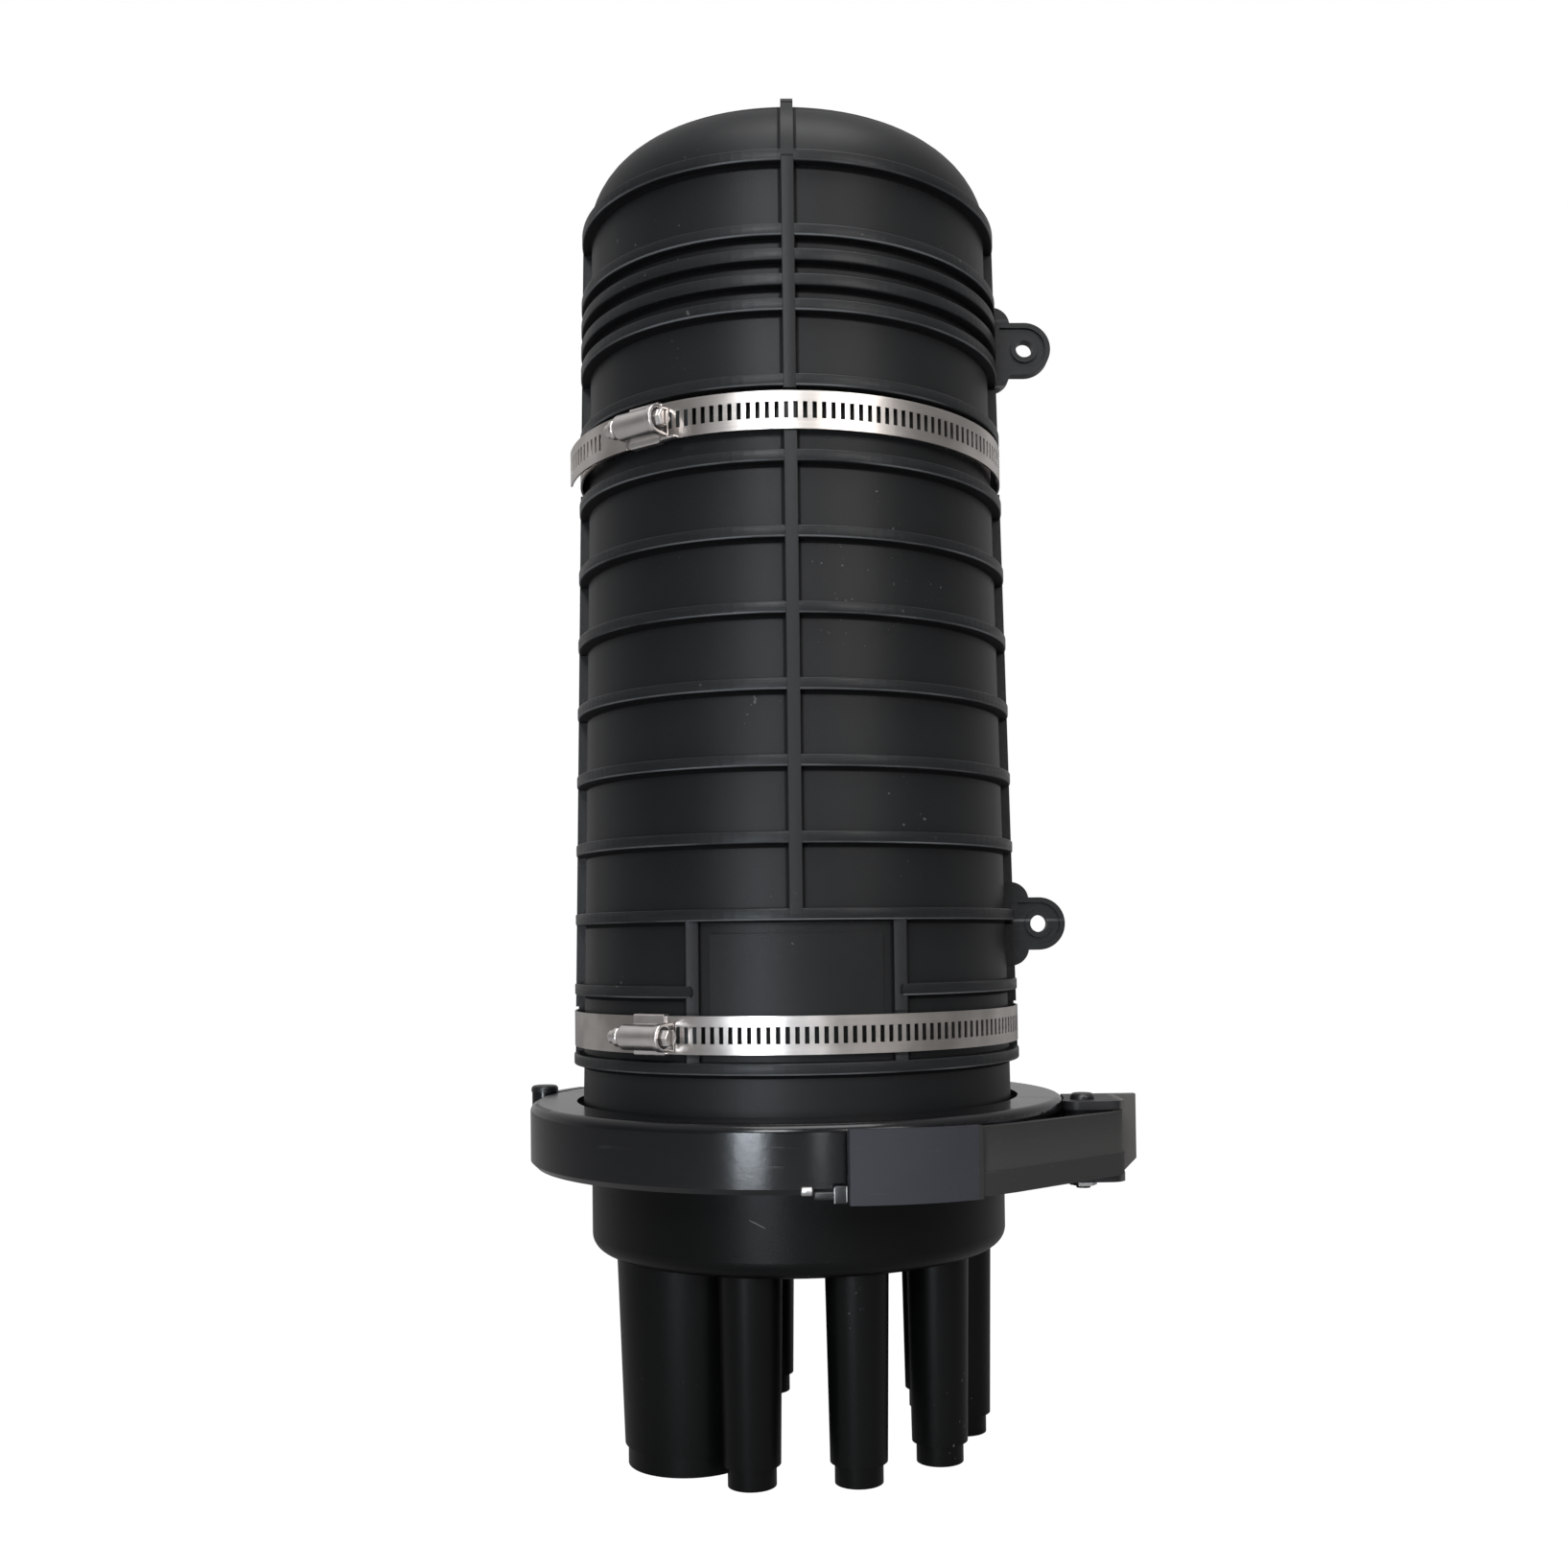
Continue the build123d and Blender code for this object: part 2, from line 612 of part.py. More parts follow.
def knuckle(level, turn):
    # A rolled knuckle with a leaf that runs round the outside of its ring half
    outer = RING_RADIUS + HINGE_LEAF
    middle = HINGE_ANGLE + turn * LEAF_ANGLE / 2
    end = HINGE_ANGLE + turn * LEAF_ANGLE
    with BuildPart() as roll:
        with BuildSketch(Plane.XY.offset(KNUCKLES[level])):
            with Locations((HINGE_X, HINGE_Y)):
                Circle(HINGE_KNUCKLE)
            with BuildLine():
                Line(polar(RING_RADIUS - 1, HINGE_ANGLE), polar(outer, HINGE_ANGLE))
                ThreePointArc(polar(outer, HINGE_ANGLE), polar(outer, middle), polar(outer, end))
                Line(polar(outer, end), polar(RING_RADIUS - 1, end))
                ThreePointArc(
                    polar(RING_RADIUS - 1, end),
                    polar(RING_RADIUS - 1, middle),
                    polar(RING_RADIUS - 1, HINGE_ANGLE),
                )
            make_face()
        extrude(amount=KNUCKLE_HEIGHT)
    return roll.part


def knuckle_room(level):
    with BuildPart() as room:
        with BuildSketch(Plane.XY.offset(KNUCKLES[level] - KNUCKLE_GAP)):
            with Locations((HINGE_X, HINGE_Y)):
                Circle(HINGE_KNUCKLE + CLEARANCE)
        extrude(amount=KNUCKLE_HEIGHT + 2 * KNUCKLE_GAP)
    return room.part


with BuildPart() as hinge_bore:
    with BuildSketch(Plane.XY.offset(RING_BOTTOM - 1)):
        with Locations((HINGE_X, HINGE_Y)):
            Circle(HINGE_PIN_RADIUS + RUNNING)
    extrude(amount=RING_HEIGHT + 2)

FRONT_KNUCKLE = knuckle("middle", 1)
REAR_KNUCKLES = [knuckle("low", -1), knuckle("high", -1)]
FRONT_ROOM = [knuckle_room("low"), knuckle_room("high")]
REAR_ROOM = knuckle_room("middle")
LINK_LEVEL = (LEVER_TOP + LEVER_BOTTOM) / 2 + LINK_RISE
PEG_ROOT = RELIEF_DEPTH - 1
with BuildPart() as front_ring_half:
    with BuildSketch(radial_plane(HINGE_ANGLE + HALF_GAP_ANGLE)):
        with BuildLine():
            ring_outline()
        make_face()
    revolve(axis=Axis.Z, revolution_arc=FRONT_ARC)
    add(FRONT_KNUCKLE)
    add(FRONT_ROOM, mode=Mode.SUBTRACT)
    add([hinge_bore.part, latch_relief.part], mode=Mode.SUBTRACT)
    with BuildSketch(tangent_plane(PEG_ROOT, PEG_ANGLE, LINK_LEVEL)):
        Rectangle(PEG_WIDTH, PEG_HEIGHT)
    extrude(amount=PEG_TOP_RADIUS - PEG_ROOT)
save(front_ring_half.part, "front_ring_half")

with BuildPart() as rear_ring_half:
    with BuildSketch(radial_plane(LATCH_ANGLE + HALF_GAP_ANGLE)):
        with BuildLine():
            ring_outline()
        make_face()
    revolve(axis=Axis.Z, revolution_arc=REAR_ARC)
    add(REAR_KNUCKLES)
    add(REAR_ROOM, mode=Mode.SUBTRACT)
    add([hinge_bore.part, latch_relief.part], mode=Mode.SUBTRACT)
save(rear_ring_half.part, "rear_ring_half")

with BuildPart() as hinge_pin:
    with BuildSketch(Plane.XY.offset(RING_BOTTOM - 2 * KNUCKLE_GAP)):
        with Locations((HINGE_X, HINGE_Y)):
            Circle(HINGE_PIN_RADIUS)
    extrude(amount=RING_HEIGHT + 2 * KNUCKLE_GAP)
    for bottom, top in ((RING_TOP, RING_TOP + 2.4), (RING_BOTTOM - 2.4, RING_BOTTOM)):
        with BuildSketch(Plane.XY.offset(bottom)):
            with Locations((HINGE_X, HINGE_Y)):
                Circle(HINGE_HEAD_RADIUS)
        extrude(amount=top - bottom)
    fillet(hinge_pin.faces().sort_by(Axis.Z)[-1].edges(), radius=1.4)
save(hinge_pin.part, "hinge_pin")

# Latch bracket on the rear half: two ears for the lever, and a back plate
UPPER_EAR = LEVER_TOP + CLEARANCE
LOWER_EAR = LEVER_BOTTOM - CLEARANCE - EAR_THICKNESS
EAR_CORNER = 6.0
EAR_FRONT = PIVOT_Y - 11.0
EAR_BACK = BACK_PLATE_Y + BACK_PLATE_THICKNESS
with BuildPart() as latch_bracket:
    for bottom, top in ((UPPER_EAR, UPPER_EAR + EAR_THICKNESS), (LOWER_EAR, LOWER_EAR + EAR_THICKNESS)):
        with BuildSketch(Plane.XY.offset(bottom)) as ear:
            with BuildLine():
                Polyline(
                    (RELIEF_DEPTH, EAR_FRONT),
                    (LEVER_TAIL_X + LEVER_THICKNESS, EAR_FRONT),
                    (LEVER_TAIL_X + LEVER_THICKNESS, EAR_BACK),
                    (RELIEF_DEPTH, EAR_BACK),
                    close=True,
                )
            make_face()
            fillet(ear.vertices().group_by(Axis.Y)[0], radius=EAR_CORNER)
        extrude(amount=top - bottom)
    with BuildSketch(Plane.XZ.offset(-EAR_BACK)):
        with BuildLine():
            Polyline(
                (RELIEF_DEPTH, BACK_PLATE_BOTTOM),
                (BACK_PLATE_REACH - BACK_PLATE_CHAMFER, BACK_PLATE_BOTTOM),
                (BACK_PLATE_REACH, BACK_PLATE_BOTTOM + BACK_PLATE_CHAMFER),
                (BACK_PLATE_REACH, UPPER_EAR + EAR_THICKNESS),
                (RELIEF_DEPTH, UPPER_EAR + EAR_THICKNESS),
                close=True,
            )
        make_face()
    extrude(amount=BACK_PLATE_THICKNESS)
    with BuildSketch(Plane.XY.offset(BACK_PLATE_BOTTOM)):
        Circle(RING_RADIUS)
        with Locations((PIVOT_X, PIVOT_Y)):
            Circle(PIVOT_PIN_RADIUS)
    extrude(amount=UPPER_EAR + EAR_THICKNESS - BACK_PLATE_BOTTOM, mode=Mode.SUBTRACT)
save(latch_bracket.part, "latch_bracket")

# Stub pivots of the lever: a domed pin above, and a pin with a nut below, clear of the link between them
LINK_TOP = LINK_LEVEL + LINK_HEIGHT / 2
LINK_BOTTOM = LINK_LEVEL - LINK_HEIGHT / 2
HUB_TOP = LINK_TOP + CLEARANCE
HUB_BOTTOM = LINK_BOTTOM - CLEARANCE
with BuildPart() as pivot_pin_upper:
    with BuildSketch(Plane.XY.offset(HUB_TOP)):
        with Locations((PIVOT_X, PIVOT_Y)):
            Circle(PIVOT_PIN_RADIUS)
    extrude(amount=UPPER_EAR + EAR_THICKNESS - HUB_TOP)
    with BuildSketch(Plane.XY.offset(UPPER_EAR + EAR_THICKNESS)):
        with Locations((PIVOT_X, PIVOT_Y)):
            Circle(PIVOT_HEAD_RADIUS)
    extrude(amount=PIVOT_HEAD_HEIGHT)
    fillet(pivot_pin_upper.faces().sort_by(Axis.Z)[-1].edges(), radius=PIVOT_HEAD_HEIGHT * 0.7)
save(pivot_pin_upper.part, "pivot_pin_upper")

with BuildPart() as pivot_pin_lower:
    with BuildSketch(Plane.XY.offset(LOWER_EAR - PIVOT_HEAD_HEIGHT - 1)):
        with Locations((PIVOT_X, PIVOT_Y)):
            Circle(PIVOT_PIN_RADIUS)
    extrude(amount=HUB_BOTTOM - LOWER_EAR + PIVOT_HEAD_HEIGHT + 1)
save(pivot_pin_lower.part, "pivot_pin_lower")

with BuildPart() as pivot_nut:
    with BuildSketch(Plane.XY.offset(LOWER_EAR - PIVOT_HEAD_HEIGHT)):
        with Locations((PIVOT_X, PIVOT_Y)):
            RegularPolygon(PIVOT_HEAD_RADIUS + 0.6, 6)
            Circle(PIVOT_PIN_RADIUS, mode=Mode.SUBTRACT)
    extrude(amount=PIVOT_HEAD_HEIGHT)
save(pivot_nut.part, "pivot_nut")

# Lever: a curved plate with a thicker grip, and two hub plates that carry the crank pin
CRANK_TURN = degrees(atan2(PIVOT_Y, PIVOT_X)) + CRANK_ANGLE
CRANK_X = PIVOT_X + CRANK * cos(radians(CRANK_TURN))
CRANK_Y = PIVOT_Y + CRANK * sin(radians(CRANK_TURN))
LEVER_HEIGHT = LEVER_TOP - LEVER_BOTTOM
LEVER_INNER = LEVER_ARC_RADIUS - LEVER_THICKNESS / 2


def lever_path():
    # From the grip round the ring, straight out to the latch and round its end
    middle = (LEVER_TIP_ANGLE + LEVER_BEND_ANGLE) / 2
    bend = polar(LEVER_ARC_RADIUS, LEVER_BEND_ANGLE)
    corner = (LEVER_TAIL_X, PIVOT_Y - LEVER_TAIL_BEND)
    ThreePointArc(
        polar(LEVER_ARC_RADIUS, LEVER_TIP_ANGLE), polar(LEVER_ARC_RADIUS, middle), bend
    )
    FilletPolyline(bend, corner, (LEVER_TAIL_X, LEVER_TAIL_Y), radius=LEVER_TAIL_BEND * 0.8)


with BuildPart() as latch_lever:
    with BuildSketch(Plane.XY.offset(LEVER_BOTTOM)):
        with BuildLine():
            lever_path()
        trace(line_width=LEVER_THICKNESS)
    extrude(amount=LEVER_HEIGHT)
    # The lower part stands a little proud, below the crease
    with BuildSketch(Plane.XY.offset(LEVER_BOTTOM)):
        with BuildLine():
            lever_path()
        trace(line_width=LEVER_THICKNESS + 2 * CREASE_PROUD)
    extrude(amount=CREASE_HEIGHT)
    # The thicker grip at the free end
    with BuildSketch(Plane.XY.offset(LEVER_BOTTOM - GRIP_PLATE / 2)):
        grip = LEVER_ARC_RADIUS + LEVER_THICKNESS / 2
        with BuildLine():
            ThreePointArc(
                polar(grip, LEVER_TIP_ANGLE),
                polar(grip, (LEVER_TIP_ANGLE + LEVER_STEP_ANGLE) / 2),
                polar(grip, LEVER_STEP_ANGLE),
            )
        trace(line_width=2 * GRIP_PLATE)
    extrude(amount=LEVER_HEIGHT + GRIP_PLATE)
    for bottom, top in ((LEVER_BOTTOM, HUB_BOTTOM), (HUB_TOP, LEVER_TOP)):
        with BuildSketch(Plane.XY.offset(bottom)):
            with Locations((PIVOT_X, PIVOT_Y)):
                Circle(HUB_RADIUS)
            with Locations((PIVOT_X, LEVER_TAIL_Y)):
                Rectangle(
                    LEVER_TAIL_X - PIVOT_X,
                    HUB_RADIUS + LEVER_TAIL_Y - PIVOT_Y,
                    align=(Align.MIN, Align.MAX),
                )
            with Locations((PIVOT_X, PIVOT_Y)):
                Circle(PIVOT_PIN_RADIUS + RUNNING, mode=Mode.SUBTRACT)
            with Locations((CRANK_X, CRANK_Y)):
                Circle(CRANK_PIN_RADIUS, mode=Mode.SUBTRACT)
        extrude(amount=top - bottom)
save(latch_lever.part, "latch_lever")

with BuildPart() as crank_pin:
    with BuildSketch(Plane.XY.offset(LEVER_BOTTOM + 1)):
        with Locations((CRANK_X, CRANK_Y)):
            Circle(CRANK_PIN_RADIUS)
    extrude(amount=LEVER_HEIGHT - 2)
save(crank_pin.part, "crank_pin")

# Link: a strap from the crank pin to a peg on the front half, with play round the peg
PEG_X, PEG_Y = polar(RELIEF_DEPTH + LINK_STAND_OFF, PEG_ANGLE)
LINK_LENGTH = sqrt((CRANK_X - PEG_X) ** 2 + (CRANK_Y - PEG_Y) ** 2)
LINK_REACH = 1 + LINK_END / LINK_LENGTH
LINK_TIP = (CRANK_X + (PEG_X - CRANK_X) * LINK_REACH, CRANK_Y + (PEG_Y - CRANK_Y) * LINK_REACH)
with BuildPart() as latch_link:
    with BuildSketch(Plane.XY.offset(LINK_BOTTOM)):
        with BuildLine():
            Line((CRANK_X, CRANK_Y), LINK_TIP)
        trace(line_width=LINK_THICKNESS)
        with Locations((CRANK_X, CRANK_Y)):
            Circle(LINK_EYE_RADIUS)
            Circle(CRANK_PIN_RADIUS + RUNNING, mode=Mode.SUBTRACT)
    extrude(amount=LINK_HEIGHT)
    with BuildSketch(tangent_plane(PEG_ROOT, PEG_ANGLE, LINK_LEVEL)):
        Rectangle(PEG_WIDTH + 2 * PEG_PLAY, PEG_HEIGHT + PEG_PLAY)
    extrude(amount=PEG_TOP_RADIUS, mode=Mode.SUBTRACT)
save(latch_link.part, "latch_link")

# Lock tab: a small folded tab under the ring, beside the lever's free end
TAB_ANGLE = LEVER_TIP_ANGLE - TAB_GAP_ANGLE
with BuildPart() as lock_tab:
    tab_plane = tangent_plane(RING_RADIUS - TAB_ROOT, TAB_ANGLE, RING_BOTTOM)
    with BuildSketch(tab_plane):
        Rectangle(TAB_WIDTH, TAB_THICKNESS, align=(Align.CENTER, Align.MAX))
    extrude(amount=TAB_ROOT + TAB_REACH)
    with BuildSketch(tangent_plane(RING_RADIUS + TAB_REACH - TAB_THICKNESS, TAB_ANGLE, RING_BOTTOM)):
        Rectangle(TAB_WIDTH, TAB_LIP, align=(Align.CENTER, Align.MIN))
    extrude(amount=TAB_THICKNESS)
save(lock_tab.part, "lock_tab")


def clamp_band(level):
    # A slotted stainless band, seated on the ribs; its spare end runs on past the housing
    height = BAND_HEIGHTS[level]
    inner = rib_radius(height) + BAND_SEAT
    outer = inner + BAND_THICKNESS
    count = int((SLOT_END - SLOT_START[level]) * radians(1) * outer / SLOT_PITCH)
    step = degrees(SLOT_PITCH / outer)
    places = [
        tangent_plane(outer, SLOT_START[level] + index * step, height).location for index in range(count)
    ]
    with BuildPart() as band:
        with BuildSketch(Plane.XY.offset(height - BAND_WIDTH / 2)):
            Circle(outer)
            Circle(inner, mode=Mode.SUBTRACT)
            if level == "upper":
                with BuildLine():
                    ThreePointArc(
                        polar(outer, HOUSING_ANGLES[level] - TAIL_LEAD),
                        polar(outer + TAIL_LIFT / 3, (HOUSING_ANGLES[level] + TAIL_END) / 2),
                        polar(outer + TAIL_LIFT, TAIL_END),
                    )
                trace(line_width=BAND_THICKNESS)
        extrude(amount=BAND_WIDTH)
        with Locations(*places):
            Box(SLOT_WIDTH, SLOT_LENGTH, 2 * BAND_THICKNESS + BAND_SEAT, mode=Mode.SUBTRACT)
        if level == "upper":
            spare = int((HOUSING_ANGLES[level] - 2 * TAIL_LEAD - TAIL_END) / step)
            for index in range(1, spare):
                end = tangent_plane(outer, TAIL_END + index * step, height).location
                with Locations(end):
                    Box(SLOT_WIDTH, SLOT_LENGTH, 3 * TAIL_LIFT, mode=Mode.SUBTRACT)
    return band.part


def worm_plane(level, along):
    # Local z runs along the screw towards its head
    height = BAND_HEIGHTS[level]
    outer = rib_radius(height) + BAND_SEAT + BAND_THICKNESS
    a = radians(HOUSING_ANGLES[level])
    x, y = polar(outer + WORM_AXIS, HOUSING_ANGLES[level])
    return Plane(
        origin=(x - along * sin(a), y + along * cos(a), height),
        x_dir=(cos(a), sin(a), 0),
        z_dir=(-sin(a), cos(a), 0),
    )


def clamp_housing(level):
    # A saddle pressed over the band, with a round tunnel for the screw
    height = BAND_HEIGHTS[level]
    outer = rib_radius(height) + BAND_SEAT + BAND_THICKNESS
    tunnel = WORM_RADIUS + CLEARANCE + HOUSING_WALL
    with BuildPart() as housing:
        with BuildSketch(worm_plane(level, -HOUSING_LENGTH / 2)):
            Circle(tunnel)
            Rectangle(WORM_AXIS + 2, 2 * tunnel, align=(Align.MAX, Align.CENTER))
            Rectangle(WORM_AXIS + 2, BAND_WIDTH + 2 * HOUSING_WALL, align=(Align.MAX, Align.CENTER))
            with Locations((-WORM_AXIS + HOUSING_WALL, 0)):
                for side in (-1, 1):
                    with Locations((0, side * (tunnel + HOUSING_SHOULDER))):
                        Rectangle(
                            WORM_AXIS + tunnel,
                            2 * HOUSING_SHOULDER,
                            align=(Align.MIN, Align.CENTER),
                            mode=Mode.SUBTRACT,
                        )
            Circle(WORM_RADIUS + CLEARANCE, mode=Mode.SUBTRACT)
        extrude(amount=HOUSING_LENGTH)
        with BuildSketch(Plane.XY.offset(height - BAND_WIDTH)):
            Circle(outer)
        extrude(amount=2 * BAND_WIDTH, mode=Mode.SUBTRACT)
    return housing.part


def clamp_screw(level):
    # The worm, its collar and its slotted hexagon head
    half = HOUSING_LENGTH / 2
    with BuildPart() as screw:
        with BuildSketch(worm_plane(level, -half - SCREW_COLLAR)):
            Circle(WORM_RADIUS)
        extrude(amount=HOUSING_LENGTH + 2 * SCREW_COLLAR)
        with BuildSketch(worm_plane(level, half + CLEARANCE)):
            Circle(SCREW_COLLAR_RADIUS)
        extrude(amount=SCREW_COLLAR)
        with BuildSketch(worm_plane(level, half + CLEARANCE + SCREW_COLLAR)):
            RegularPolygon(SCREW_HEAD_RADIUS, 6)
        extrude(amount=SCREW_HEAD_LENGTH)
        with BuildSketch(worm_plane(level, half + CLEARANCE + SCREW_COLLAR + SCREW_HEAD_LENGTH / 2)):
            Rectangle(2 * SCREW_HEAD_RADIUS, SCREW_SLOT)
        extrude(amount=SCREW_HEAD_LENGTH, mode=Mode.SUBTRACT)
    return screw.part


for level in ("lower", "upper"):
    save(clamp_band(level), f"{level}_clamp_band")
    save(clamp_housing(level), f"{level}_clamp_housing")
    save(clamp_screw(level), f"{level}_clamp_screw")

# Splice carrier: a foot on the base floor, a neck, a shelf and a back plate
FOOT_TOP = FLOOR_TOP + CARRIER_PLATE
SHELF_TOP = TRAY_BOTTOM - TRAY_SEAT
TRAY_BACK = TRAY_FRONT + TRAY_COUNT * TRAY_PITCH
BASKET_BACK = TRAY_BACK + BASKET_DEPTH + CLEARANCE
SCREW_SPOTS = [(FOOT_CENTRE + x, y) for x in (-FOOT_SCREW, FOOT_SCREW) for y in (-FOOT_SCREW, FOOT_SCREW)]
with BuildPart() as carrier_frame:
    with BuildSketch(Plane.XY.offset(FLOOR_TOP)):
        with Locations((FOOT_CENTRE, 0)):
            RectangleRounded(FOOT_SIZE, FOOT_SIZE, radius=CARRIER_PLATE)
        with Locations(*SCREW_SPOTS):
            Circle(FOOT_HOLE, mode=Mode.SUBTRACT)
    extrude(amount=CARRIER_PLATE)
    with BuildSketch(Plane.XY.offset(FLOOR_TOP)):
        with Locations((FOOT_CENTRE, 0)):
            Rectangle(NECK_WIDTH, NECK_DEPTH)
            with Locations((0, -CARRIER_PLATE)):
                Rectangle(NECK_WIDTH - 2 * CARRIER_PLATE, NECK_DEPTH, mode=Mode.SUBTRACT)
    extrude(amount=SHELF_TOP - FLOOR_TOP)
    with BuildSketch(Plane.XY.offset(SHELF_TOP - CARRIER_PLATE)):
        with Locations((0, TRAY_FRONT)):
            Rectangle(
                CARRIER_WIDTH, BASKET_BACK + CARRIER_PLATE - TRAY_FRONT, align=(Align.CENTER, Align.MIN)
            )
    extrude(amount=CARRIER_PLATE)
    with BuildSketch(Plane.XY.offset(SHELF_TOP)):
        with Locations((0, BASKET_BACK)):
            Rectangle(CARRIER_WIDTH, CARRIER_PLATE, align=(Align.CENTER, Align.MIN))
    extrude(amount=CARRIER_TOP - SHELF_TOP)
save(carrier_frame.part, "carrier_frame")

with BuildPart() as carrier_screws:
    for bottom, top, radius in (
        (FLOOR_TOP, FOOT_TOP, FOOT_HOLE - CLEARANCE),
        (FOOT_TOP, FOOT_TOP + FOOT_HOLE, 2 * FOOT_HOLE),
    ):
        with BuildSketch(Plane.XY.offset(bottom)):
            with Locations(*SCREW_SPOTS):
                Circle(radius)
        extrude(amount=top - bottom)
save(carrier_screws.part, "carrier_screws")

# Hinge seat on the shelf, with one pin for each tray
TRAY_MIDDLES = [TRAY_FRONT + (index + 0.5) * TRAY_PITCH for index in range(TRAY_COUNT)]
PIN_LEVEL = SHELF_TOP + SEAT_HEIGHT - 2 * TRAY_PIN_RADIUS
with BuildPart() as tray_hinge_seat:
    with BuildSketch(Plane.XY.offset(SHELF_TOP)):
        for side in (-1, 1):
            with Locations((side * (SEAT_WIDTH - SEAT_WALL) / 2, TRAY_FRONT)):
                Rectangle(SEAT_WALL, TRAY_BACK - TRAY_FRONT, align=(Align.CENTER, Align.MIN))
    extrude(amount=SEAT_HEIGHT)
    with BuildSketch(Plane.XY.offset(SHELF_TOP)):
        with Locations((0, TRAY_FRONT)):
            Rectangle(SEAT_WIDTH, TRAY_BACK - TRAY_FRONT, align=(Align.CENTER, Align.MIN))
    extrude(amount=1)
    with BuildSketch(Plane.YZ.offset(-SEAT_WIDTH)):
        with Locations(*[(middle, PIN_LEVEL) for middle in TRAY_MIDDLES]):
            Circle(TRAY_PIN_RADIUS)
    extrude(amount=2 * SEAT_WIDTH, mode=Mode.SUBTRACT)
save(tray_hinge_seat.part, "tray_hinge_seat")

with BuildPart() as tray_hinge_pins:
    with BuildSketch(Plane.YZ.offset(-SEAT_WIDTH / 2)):
        with Locations(*[(middle, PIN_LEVEL) for middle in TRAY_MIDDLES]):
            Circle(TRAY_PIN_RADIUS)
    extrude(amount=SEAT_WIDTH)
save(tray_hinge_pins.part, "tray_hinge_pins")


def splice_tray(middle):
    # A shallow tray with two fibre spools and a comb of splice holders, on a hinge tab
    front = middle - TRAY_DEPTH / 2
    centre = TRAY_BOTTOM + TRAY_LENGTH / 2
    with BuildPart() as tray:
        with BuildSketch(Plane.XZ.offset(-front)):
            with Locations((0, centre)):
                RectangleRounded(TRAY_WIDTH, TRAY_LENGTH, radius=TRAY_CORNER)
        extrude(amount=-TRAY_DEPTH)
        with BuildSketch(Plane.XZ.offset(-front)):
            with Locations((0, centre)):
                RectangleRounded(
                    TRAY_WIDTH - 2 * TRAY_WALL, TRAY_LENGTH - 2 * TRAY_WALL, radius=TRAY_CORNER - TRAY_WALL
                )
            with Locations((0, centre - SPOOL_SPREAD), (0, centre + SPOOL_SPREAD)):
                Circle(SPOOL_RADIUS, mode=Mode.SUBTRACT)
                Circle(SPOOL_RADIUS - TRAY_WALL)
            with GridLocations(COMB_PITCH, 0, COMB_COUNT, 1):
                with Locations((0, centre)):
                    Rectangle(TRAY_WALL, COMB_LENGTH, mode=Mode.SUBTRACT)
        extrude(amount=TRAY_WALL - TRAY_DEPTH, mode=Mode.SUBTRACT)
        with BuildSketch(Plane.XY.offset(PIN_LEVEL - 2 * TRAY_PIN_RADIUS)):
            with Locations((0, middle)):
                Rectangle(SEAT_WIDTH - 2 * SEAT_WALL - 2 * CLEARANCE, 4 * TRAY_PIN_RADIUS)
        extrude(amount=TRAY_BOTTOM - PIN_LEVEL + 2 * TRAY_PIN_RADIUS + TRAY_WALL / 2)
        with BuildSketch(Plane.YZ.offset(-SEAT_WIDTH / 2)):
            with Locations((middle, PIN_LEVEL)):
                Circle(TRAY_PIN_RADIUS + RUNNING)
        extrude(amount=SEAT_WIDTH, mode=Mode.SUBTRACT)
    return tray.part


for index, middle in enumerate(TRAY_MIDDLES):
    save(splice_tray(middle), f"splice_tray_{index + 1}")

with BuildPart() as tray_cover:
    with BuildSketch(Plane.XZ.offset(-TRAY_MIDDLES[0] + TRAY_DEPTH / 2)):
        with Locations((0, TRAY_BOTTOM + TRAY_LENGTH / 2)):
            RectangleRounded(TRAY_WIDTH, TRAY_LENGTH, radius=TRAY_CORNER)
    extrude(amount=TRAY_WALL)
save(tray_cover.part, "tray_cover")

# Slack basket for spare tube, between the trays and the back plate
with BuildPart() as slack_basket:
    with BuildSketch(Plane.XY.offset(SHELF_TOP)):
        with Locations((0, TRAY_BACK)):
            Rectangle(CARRIER_WIDTH, BASKET_DEPTH, align=(Align.CENTER, Align.MIN))
            with Locations((0, TRAY_WALL)):
                Rectangle(
                    CARRIER_WIDTH - 2 * TRAY_WALL,
                    BASKET_DEPTH - 2 * TRAY_WALL,
                    align=(Align.CENTER, Align.MIN),
                    mode=Mode.SUBTRACT,
                )
    extrude(amount=BASKET_HEIGHT)
    with BuildSketch(Plane.XY.offset(SHELF_TOP)):
        with Locations((0, TRAY_BACK)):
            Rectangle(CARRIER_WIDTH, BASKET_DEPTH, align=(Align.CENTER, Align.MIN))
    extrude(amount=TRAY_WALL)
save(slack_basket.part, "slack_basket")

# Strap that holds the trays closed against the back plate
STRAP_FRONT = TRAY_MIDDLES[0] - TRAY_DEPTH / 2 - TRAY_WALL - CLEARANCE
STRAP_BACK = BASKET_BACK + CARRIER_PLATE + CLEARANCE
with BuildPart() as tray_strap:
    with BuildSketch(Plane.XY.offset(STRAP_LEVEL)):
        with Locations((0, (STRAP_FRONT + STRAP_BACK) / 2)):
            RectangleRounded(
                TRAY_WIDTH + 2 * CLEARANCE + 2 * STRAP_THICKNESS,
                STRAP_BACK - STRAP_FRONT + 2 * STRAP_THICKNESS,
                radius=2 * STRAP_THICKNESS,
            )
            Rectangle(
                TRAY_WIDTH + 2 * CLEARANCE, STRAP_BACK - STRAP_FRONT, mode=Mode.SUBTRACT
            )
    extrude(amount=STRAP_WIDTH)
save(tray_strap.part, "tray_strap")

